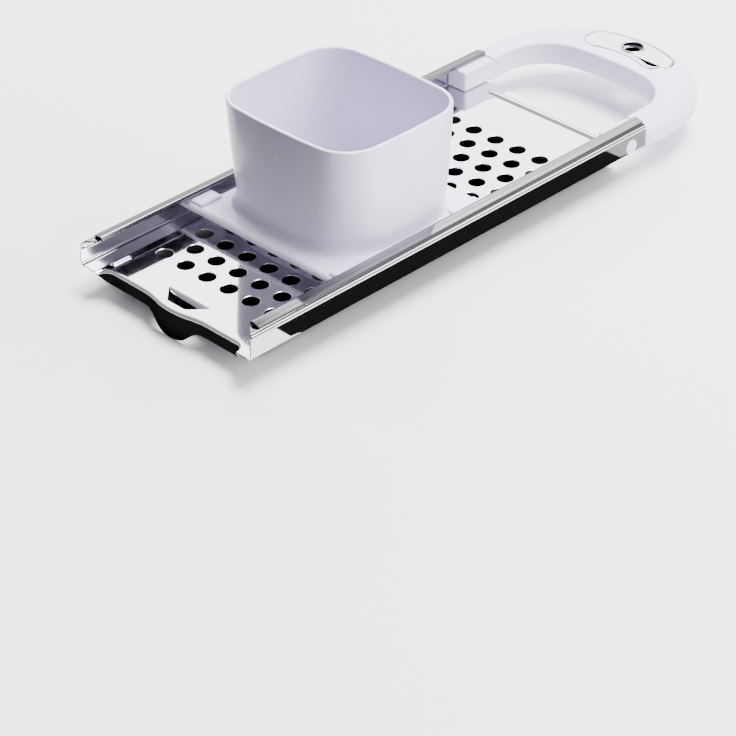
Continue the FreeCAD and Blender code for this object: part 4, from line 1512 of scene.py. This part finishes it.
# ---- handle ---------------------------------------------------------------------------------
@dataclass
class BowHandle:
    """Bow of two shells with legs that go into the channel."""

    front: float = 220.65
    top: float = 12.2
    parting: float = 5.5
    seam: float = 0.2
    rear: float = 290.5
    grip_rear: float = 258.5
    outer_arcs: tuple[Plan, ...] = ((70.04, 22.2), (46.2, 47.5))
    flank: float = 68.6
    inner_rear: Plan = (157.5, 7.7)
    leg_inner: float = 42.5
    leg_outer: float = 54.4
    leg_front: float = 200.6
    leg_z: Plan = (0.62, 11.4)
    leg_round: float = 1.3
    leg_overlap: float = 0.01
    outer_round: float = 6.4
    inner_round: float = 1.3
    low_round: float = 1.6
    stations: int = 48

    def walk(self, rear_y: float, arcs: list[Plan], steps: int = 60) -> list[Plan]:
        """Right half of an outline from the rear middle outwards, by tangent arcs.

        Args:
            rear_y: Rearmost point.
            arcs: Radius and heading in degrees at the end of each arc.
            steps: Points on each arc.

        Returns:
            Points of the outline.
        """
        x, y, heading = 0.0, rear_y, 0.0
        points = [(x, y)]
        for radius, degrees in arcs:
            goal = math.radians(degrees)
            centre = (x - radius * math.sin(heading), y - radius * math.cos(heading))
            for step in range(1, steps + 1):
                turn = heading + (goal - heading) * step / steps
                points.append((centre[0] + radius * math.sin(turn), centre[1] + radius * math.cos(turn)))
            (x, y), heading = points[-1], goal
        return points

    def outlines(self) -> tuple[list[Plan], list[Plan]]:
        """Outlines of the bow, from the right rail round to the left one.

        Returns:
            Outer and inner outline at matching stations.
        """
        (radius_a, turn_a), (radius_b, turn_b) = self.outer_arcs
        arcs = [(radius_a, turn_a), (radius_b, turn_a + turn_b)]
        _, y = self.walk(self.rear, arcs)[-1]
        heading = math.radians(turn_a + turn_b)
        centre_y = y - self.flank * math.cos(heading)
        last = math.degrees(math.acos((self.front - centre_y) / self.flank))
        outer = self.walk(self.rear, arcs + [(self.flank, last)])
        rear_radius, rear_turn = self.inner_rear
        lean = math.sin(math.radians(rear_turn))
        corner = (self.leg_inner - rear_radius * lean) / (1 - lean)
        inner = self.walk(self.grip_rear, [(rear_radius, rear_turn), (corner, 90.0)])
        inner.append((self.leg_inner, self.front))
        halves = [self.even(points) for points in (outer, inner)]
        return tuple(half[::-1] + [(-x, y) for x, y in half[1:]] for half in halves)

    def even(self, points: list[Plan]) -> list[Plan]:
        """The same line with points at equal steps.

        Args:
            points: Points of the line.

        Returns:
            Its points at the stations.
        """
        lengths = [0.0]
        for here, there in zip(points, points[1:]):
            lengths.append(lengths[-1] + math.dist(here, there))
        result, index = [], 0
        for station in range(self.stations + 1):
            goal = lengths[-1] * station / self.stations
            while index < len(points) - 2 and lengths[index + 1] < goal:
                index += 1
            share = (goal - lengths[index]) / (lengths[index + 1] - lengths[index])
            (xa, ya), (xb, yb) = points[index], points[index + 1]
            result.append((xa + (xb - xa) * share, ya + (yb - ya) * share))
        return result

    def shell(self, upper: bool) -> Skin:
        """One shell, as a closed run of cross-sections.

        Args:
            upper: Whether it is the upper shell.

        Returns:
            The skin.
        """
        outer, inner = self.outlines()
        rows = []
        for (xo, yo), (xi, yi) in zip(outer, inner):
            width = math.dist((xo, yo), (xi, yi))
            if upper:
                corners = [(0, self.parting, self.seam), (0, self.top, self.inner_round),
                           (width, self.top, self.outer_round), (width, self.parting, self.seam)]
            else:
                corners = [(0, self.parting, self.seam), (0, 0, self.low_round),
                           (width, 0, self.low_round), (width, self.parting, self.seam)]
            run = rounded_run(corners, steps=8)
            rows.append([(xi + (xo - xi) * across / width, yi + (yo - yi) * across / width, height)
                         for across, height in run])
        skin = Skin()
        skin.grid(rows, rows_close=True)
        skin.fill([rows[0]])
        skin.fill([rows[-1]])
        return skin

    def legs(self) -> list[bpy.types.Mesh]:
        """Both legs, up to the bow.

        Returns:
            Their meshes.
        """
        meshes = []
        for side in (-1, 1):
            low_x, high_x = sorted((side * self.leg_inner, side * self.leg_outer))
            low = (low_x, self.leg_front, self.leg_z[0])
            high = (high_x, self.front + self.leg_overlap, self.leg_z[1])
            meshes.append(block(low, high, self.leg_round, steps=4, plain_rear=True))
        return meshes

    def build(self, plastic: bpy.types.Material, recess: bpy.types.Mesh) -> list[bpy.types.Object]:
        """Both shells.

        Args:
            plastic: Their material.
            recess: Cutter for the badge's seat and the eyelet's well.

        Returns:
            Lower and upper shell.
        """
        lower = carved("lower_shell", self.shell(False).mesh("lower_shell"), [recess])
        lower = joined("lower_shell", [lower] + self.legs())
        upper = carved("upper_shell", self.shell(True).mesh("upper_shell"), [recess])
        return [dressed("lower_shell", lower, plastic, Body.CHANNEL, "handle_lower_shell"),
                dressed("upper_shell", upper, plastic, Body.CHANNEL, "handle_upper_shell")]


@dataclass
class HangingTrim:
    """Chrome badge and the eyelet through it."""

    middle_y: float = 276.0
    curve: float = 50.0
    half: float = 26.2
    width: float = 17.2
    seat: float = 11.2
    top: float = 12.7
    bevel: float = 0.6
    crown: float = 0.3
    crown_width: float = 1.6
    gap: float = 0.25
    eyelet_y: float = 275.6
    bore: float = 4.1
    tube: float = 5.0
    head: float = 6.2
    mouth: float = 5.3
    rim_top: float = 13.2
    ledge: float = 10.8
    rim_round: float = 0.4
    foot: float = 0.02
    foot_round: float = 0.2
    ledge_round: float = 0.3
    head_gap: float = 0.04
    seat_gap: float = 0.02
    well_gap: float = 0.1
    well_overlap: float = 0.5  # of the eyelet's well with the badge's seat
    cutter_reach: float = 3.0  # how far the cutter stands out above and below
    steps: int = 48
    arc_steps: int = 24
    cap_steps: int = 16
    edge_steps: int = 5
    crown_steps: int = 6

    def arc(self, lean: float, reach: float, height: float) -> list[Point]:
        """Long side of the stadium, from minus the lean to the lean.

        Args:
            lean: Direction of its last point, from the middle of the bow.
            reach: Its radius.
            height: Its height.

        Returns:
            Points of the side.
        """
        centre_y = self.middle_y - self.curve
        turns = [-lean + 2 * lean * step / self.arc_steps for step in range(self.arc_steps + 1)]
        return [(reach * math.sin(turn), centre_y + reach * math.cos(turn), height) for turn in turns]

    def outline(self, growth: float, height: float) -> list[Point]:
        """Stadium bent along the bow.

        Args:
            growth: How far it is enlarged.
            height: Its height.

        Returns:
            Points of the closed outline.
        """
        half_width = self.width / 2 + growth
        lean = math.asin((self.half - self.width / 2) / self.curve)
        points = self.arc(lean, self.curve + half_width, height)
        points += self.cap(lean, half_width, height)
        points += self.arc(-lean, self.curve - half_width, height)
        points += self.cap(-lean, half_width, height)
        return points

    def cap(self, lean: float, half_width: float, height: float) -> list[Point]:
        """Half round end of the stadium, without its first and last point.

        Args:
            lean: Direction of its centre, from the middle of the bow.
            half_width: Its radius.
            height: Its height.

        Returns:
            Points of the end.
        """
        side = math.copysign(1.0, lean)
        centre_y = self.middle_y - self.curve + self.curve * math.cos(lean)
        centre = Vector((self.curve * math.sin(lean), centre_y))
        outwards = Vector((math.sin(lean), math.cos(lean)))
        along = Vector((math.cos(lean), -math.sin(lean))) * side
        points = []
        for step in range(1, self.cap_steps):
            turn = math.pi * step / self.cap_steps
            arm = outwards * math.cos(turn) * side + along * math.sin(turn)
            x, y = centre + arm * half_width
            points.append((x, y, height))
        return points

    def circle(self, radius: float, height: float) -> list[Point]:
        """Circle round the eyelet's axis."""
        turns = [math.tau * step / self.steps for step in range(self.steps)]
        return [(radius * math.cos(turn), self.eyelet_y + radius * math.sin(turn), height) for turn in turns]

    def prism(self, bottom: list[Point], top: list[Point]) -> bpy.types.Mesh:
        """Closed prism between two outlines.

        Args:
            bottom: Its lower outline.
            top: Its upper outline.

        Returns:
            The mesh.
        """
        skin = Skin()
        skin.grid([bottom, top], rows_close=True)
        skin.fill([bottom])
        skin.fill([top])
        return skin.mesh("cutter")

    def cutter(self) -> bpy.types.Mesh:
        """What the badge and the eyelet take out of the shells.

        Returns:
            The closed cutter.
        """
        over = self.top + self.cutter_reach
        seat = self.prism(self.outline(self.gap, self.seat), self.outline(self.gap, over))
        radius = self.tube + self.well_gap
        foot = self.circle(radius, -self.cutter_reach)
        well = self.prism(foot, self.circle(radius, self.seat + self.well_overlap))
        thing, tool = shown("seat", seat), shown("well", well)
        join = thing.modifiers.new("join", "BOOLEAN")
        join.operation = "UNION"
        join.solver = "EXACT"
        join.object = tool
        mesh = baked(thing, "trim_cutter")
        dropped(thing, tool)
        return mesh

    def badge(self) -> Skin:
        """Plain crowned plate with a bright edge and the eyelet's hole.

        Returns:
            Skin of the badge.
        """
        bottom = self.seat + self.seat_gap
        shoulder = self.top - self.crown
        rows = [self.outline(0.0, bottom), self.outline(0.0, shoulder - self.bevel)]
        for step in range(1, self.edge_steps):
            turn = math.pi / 2 * step / self.edge_steps
            inset = self.bevel * (1 - math.cos(turn))
            rows.append(self.outline(-inset, shoulder - self.bevel + self.bevel * math.sin(turn)))
        for step in range(self.crown_steps + 1):
            share = step / self.crown_steps
            rise = self.crown * math.sin(math.pi / 2 * share)
            rows.append(self.outline(-self.bevel - self.crown_width * share, shoulder + rise))
        radius = self.head + self.head_gap
        skin = Skin()
        skin.grid(rows, rows_close=True)
        skin.fill([rows[-1], self.circle(radius, self.top)])
        skin.fill([rows[0], self.circle(radius, bottom)])
        skin.grid([self.circle(radius, self.top), self.circle(radius, bottom)], rows_close=True)
        return skin

    def eyelet(self) -> Skin:
        """Flanged tube with a stepped mouth, turned from one outline.

        Returns:
            Skin of the eyelet.
        """
        corners = [(self.bore, self.foot, self.foot_round), (self.tube, self.foot, self.foot_round),
                   (self.tube, self.seat, 0.0), (self.head, self.seat, 0.0),
                   (self.head, self.rim_top, self.rim_round), (self.mouth, self.rim_top, self.rim_round),
                   (self.mouth, self.ledge, 0.0), (self.bore, self.ledge, self.ledge_round)]
        return lathed(rounded_run(corners), (0.0, self.eyelet_y, 0.0), self.steps)

    def build(self, chrome: bpy.types.Material) -> list[bpy.types.Object]:
        """Badge and eyelet.

        Args:
            chrome: Their material.

        Returns:
            The two pieces.
        """
        badge, eyelet = self.badge().mesh("badge_plate"), self.eyelet().mesh("eyelet_ring")
        return [dressed("badge_plate", badge, chrome, Body.CHANNEL, "badge"),
                dressed("eyelet_ring", eyelet, chrome, Body.CHANNEL, "hang_eyelet")]


@dataclass
class RetainingPegs:
    """Headed pins through both side walls."""

    y: float = 210.5
    z: float = 4.3
    wall: float = 54.42
    head: float = 3.6
    proud: float = 0.86
    shank: float = 2.3
    depth: float = 8.8
    edge: float = 0.28
    tip_round: float = 0.3
    pole: float = 0.001  # radius at which the ends close
    steps: int = 36

    def build(self, plastic: bpy.types.Material) -> list[bpy.types.Object]:
        """Right and left peg.

        Args:
            plastic: Their material.

        Returns:
            The two pegs.
        """
        corners = [(self.pole, -self.depth, 0.0), (self.shank, -self.depth, self.tip_round),
                   (self.shank, 0.0, 0.0), (self.head, 0.0, 0.0),
                   (self.head, self.proud, self.edge), (self.pole, self.proud, 0.0)]
        pegs = []
        for side, word in ((1.0, "right"), (-1.0, "left")):
            place = (side * self.wall, self.y, self.z)
            mesh = lathed(rounded_run(corners), place, self.steps, side).mesh(word)
            node = f"retaining_peg_{word}"
            pegs.append(dressed(f"peg_{word}", mesh, plastic, Body.CHANNEL, node))
        return pegs


# ---- studio ---------------------------------------------------------------------------------
@dataclass
class Softbox:
    """Rectangular light that looks at a point, with its sizes in metres."""

    name: str
    place: Point
    size: Plan
    power: float
    colour: tuple[float, float, float] = (1.0, 1.0, 1.0)
    goal: Point = (0.0, 0.1, 0.0)

    def build(self) -> bpy.types.Object:
        """Put the light up.

        Returns:
            Its lamp.
        """
        light = bpy.data.lights.new(self.name, "AREA")
        light.shape = "RECTANGLE"
        light.size, light.size_y = self.size
        light.energy = self.power
        light.color = self.colour
        lamp = bpy.data.objects.new(self.name, light)
        bpy.context.scene.collection.objects.link(lamp)
        lamp.location = self.place
        way = Vector(self.goal) - Vector(self.place)
        lamp.rotation_euler = way.to_track_quat("-Z", "Y").to_euler()
        return lamp


@dataclass
class Flag:
    """Dark card that the camera doesn't see, between two corners in millimetres.

    Its switches say whether mirrors see it, whether soft light meets it and whether it casts a shadow.
    """

    name: str
    low: Point
    high: Point
    grey: float = 0.004
    glossy: bool = True
    diffuse: bool = False
    shadow: bool = False

    def build(self) -> bpy.types.Object:
        """Put the card up.

        Returns:
            The card.
        """
        card = shown(self.name, block(self.low, self.high))
        card.data.materials.append(DarkCard((self.grey, self.grey, self.grey, 1.0)).build(self.name))
        card.visible_camera = False
        card.visible_glossy = self.glossy
        card.visible_diffuse = self.diffuse
        card.visible_shadow = self.shadow
        return card


@dataclass
class Studio:
    """Pale floor, soft light, flags and the camera."""

    azimuth: float = 45.6
    elevation: float = 33.99
    roll: float = -0.86
    lens: float = 128.1
    sensor: float = 36.0
    clip_end: float = 50.0
    place: Point = (732.35, -627.03, 603.57)
    floor_span: float = 6.0
    floor_gap: float = 0.3
    world: Colour = (0.93, 0.93, 1.0, 1.0)
    world_strength: float = 0.55
    softboxes: list[Softbox] = field(default_factory=lambda: [
        Softbox("overhead", (0.2, 0.65, 2.0), (1.5, 0.9), 165.0),
        Softbox("rear_left", (-1.5, 1.55, 1.45), (2.1, 1.6), 62.0, (0.97, 0.96, 1.0)),
        Softbox("rear_right", (1.5, 1.5, 1.3), (1.2, 1.0), 44.0),
        Softbox("rear_low", (-1.9, 1.8, 0.42), (3.0, 0.75), 10.0),
        Softbox("right", (1.9, 0.45, 0.9), (0.8, 1.0), 22.0),
        Softbox("left", (-1.6, 0.1, 1.6), (1.6, 1.6), 3.0),
    ])
    flags: list[Flag] = field(default_factory=lambda: [
        Flag("flag_below", (-61.0, -13.0, -12.0), (41.0, 215.0, -1.0), diffuse=True, shadow=True),
        Flag("flag_right", (40.0, 8.0, -14.1), (100.0, 224.0, -13.6)),
        Flag("flag_rear", (40.0, 224.5, -14.1), (100.0, 290.0, -13.6), grey=0.18),
        Flag("flag_front", (-190.0, -125.0, -14.1), (36.0, -14.0, -13.95)),
        Flag("flag_cup", (-240.0, -21.0, 11.6), (140.0, -20.0, 200.0), glossy=False, diffuse=True),
    ])

    def camera(self) -> bpy.types.Object:
        """Camera at the chosen angle, rolled a little.

        Returns:
            The camera.
        """
        turn, lift, roll = (math.radians(value) for value in (self.azimuth, self.elevation, self.roll))
        right = Vector((math.cos(turn), math.sin(turn), 0.0))
        forward = Vector((-math.sin(turn) * math.cos(lift), math.cos(turn) * math.cos(lift), -math.sin(lift)))
        down = forward.cross(right)
        side = right * math.cos(roll) - down * math.sin(roll)
        low = right * math.sin(roll) + down * math.cos(roll)
        data = bpy.data.cameras.new("camera")
        data.lens = self.lens
        data.sensor_width = self.sensor
        data.clip_end = self.clip_end
        eye = bpy.data.objects.new("camera", data)
        bpy.context.scene.collection.objects.link(eye)
        axes = Matrix((side, -low, -forward)).transposed()
        eye.matrix_world = Matrix.Translation(Vector(self.place) * MM) @ axes.to_4x4()
        bpy.context.scene.camera = eye
        return eye

    def floor(self) -> bpy.types.Object:
        """Pale floor just under the lowest point.

        Returns:
            The floor.
        """
        skin = Skin()
        half = self.floor_span / MM / 2
        low = CAD_BOX[0][2] / MM - self.floor_gap
        skin.fill([[(-half, -half, low), (half, -half, low), (half, half, low), (-half, half, low)]])
        floor = shown("floor", skin.mesh("floor"))
        floor.data.materials.append(PaleFloor().build())
        return floor

    def build(self) -> None:
        """Light, floor, world and camera."""
        world = bpy.data.worlds.new("studio")
        world.use_nodes = True
        background = world.node_tree.nodes["Background"]
        background.inputs["Color"].default_value = self.world
        background.inputs["Strength"].default_value = self.world_strength
        bpy.context.scene.world = world
        self.floor()
        [flag.build() for flag in self.flags]
        for softbox in self.softboxes:
            softbox.build()
        self.camera()


def corners(box: object) -> list[list[float]]:
    """Two corners of a box as plain numbers."""
    return [[float(value) for value in corner] for corner in box]


def main() -> None:
    """Build, dress and light every piece."""
    logging.basicConfig(level=logging.INFO, format="%(name)s %(message)s")
    steel, plastic, chrome = PolishedSteel().build(), GlossPlastic().build(), BrightChrome().build()
    trim = HangingTrim()
    GraterPlate().build(steel)
    Hopper().build(plastic)
    BowHandle().build(plastic, trim.cutter())
    trim.build(chrome)
    RetainingPegs().build(plastic)
    Studio().build()


if __name__ == "__main__":
    main()
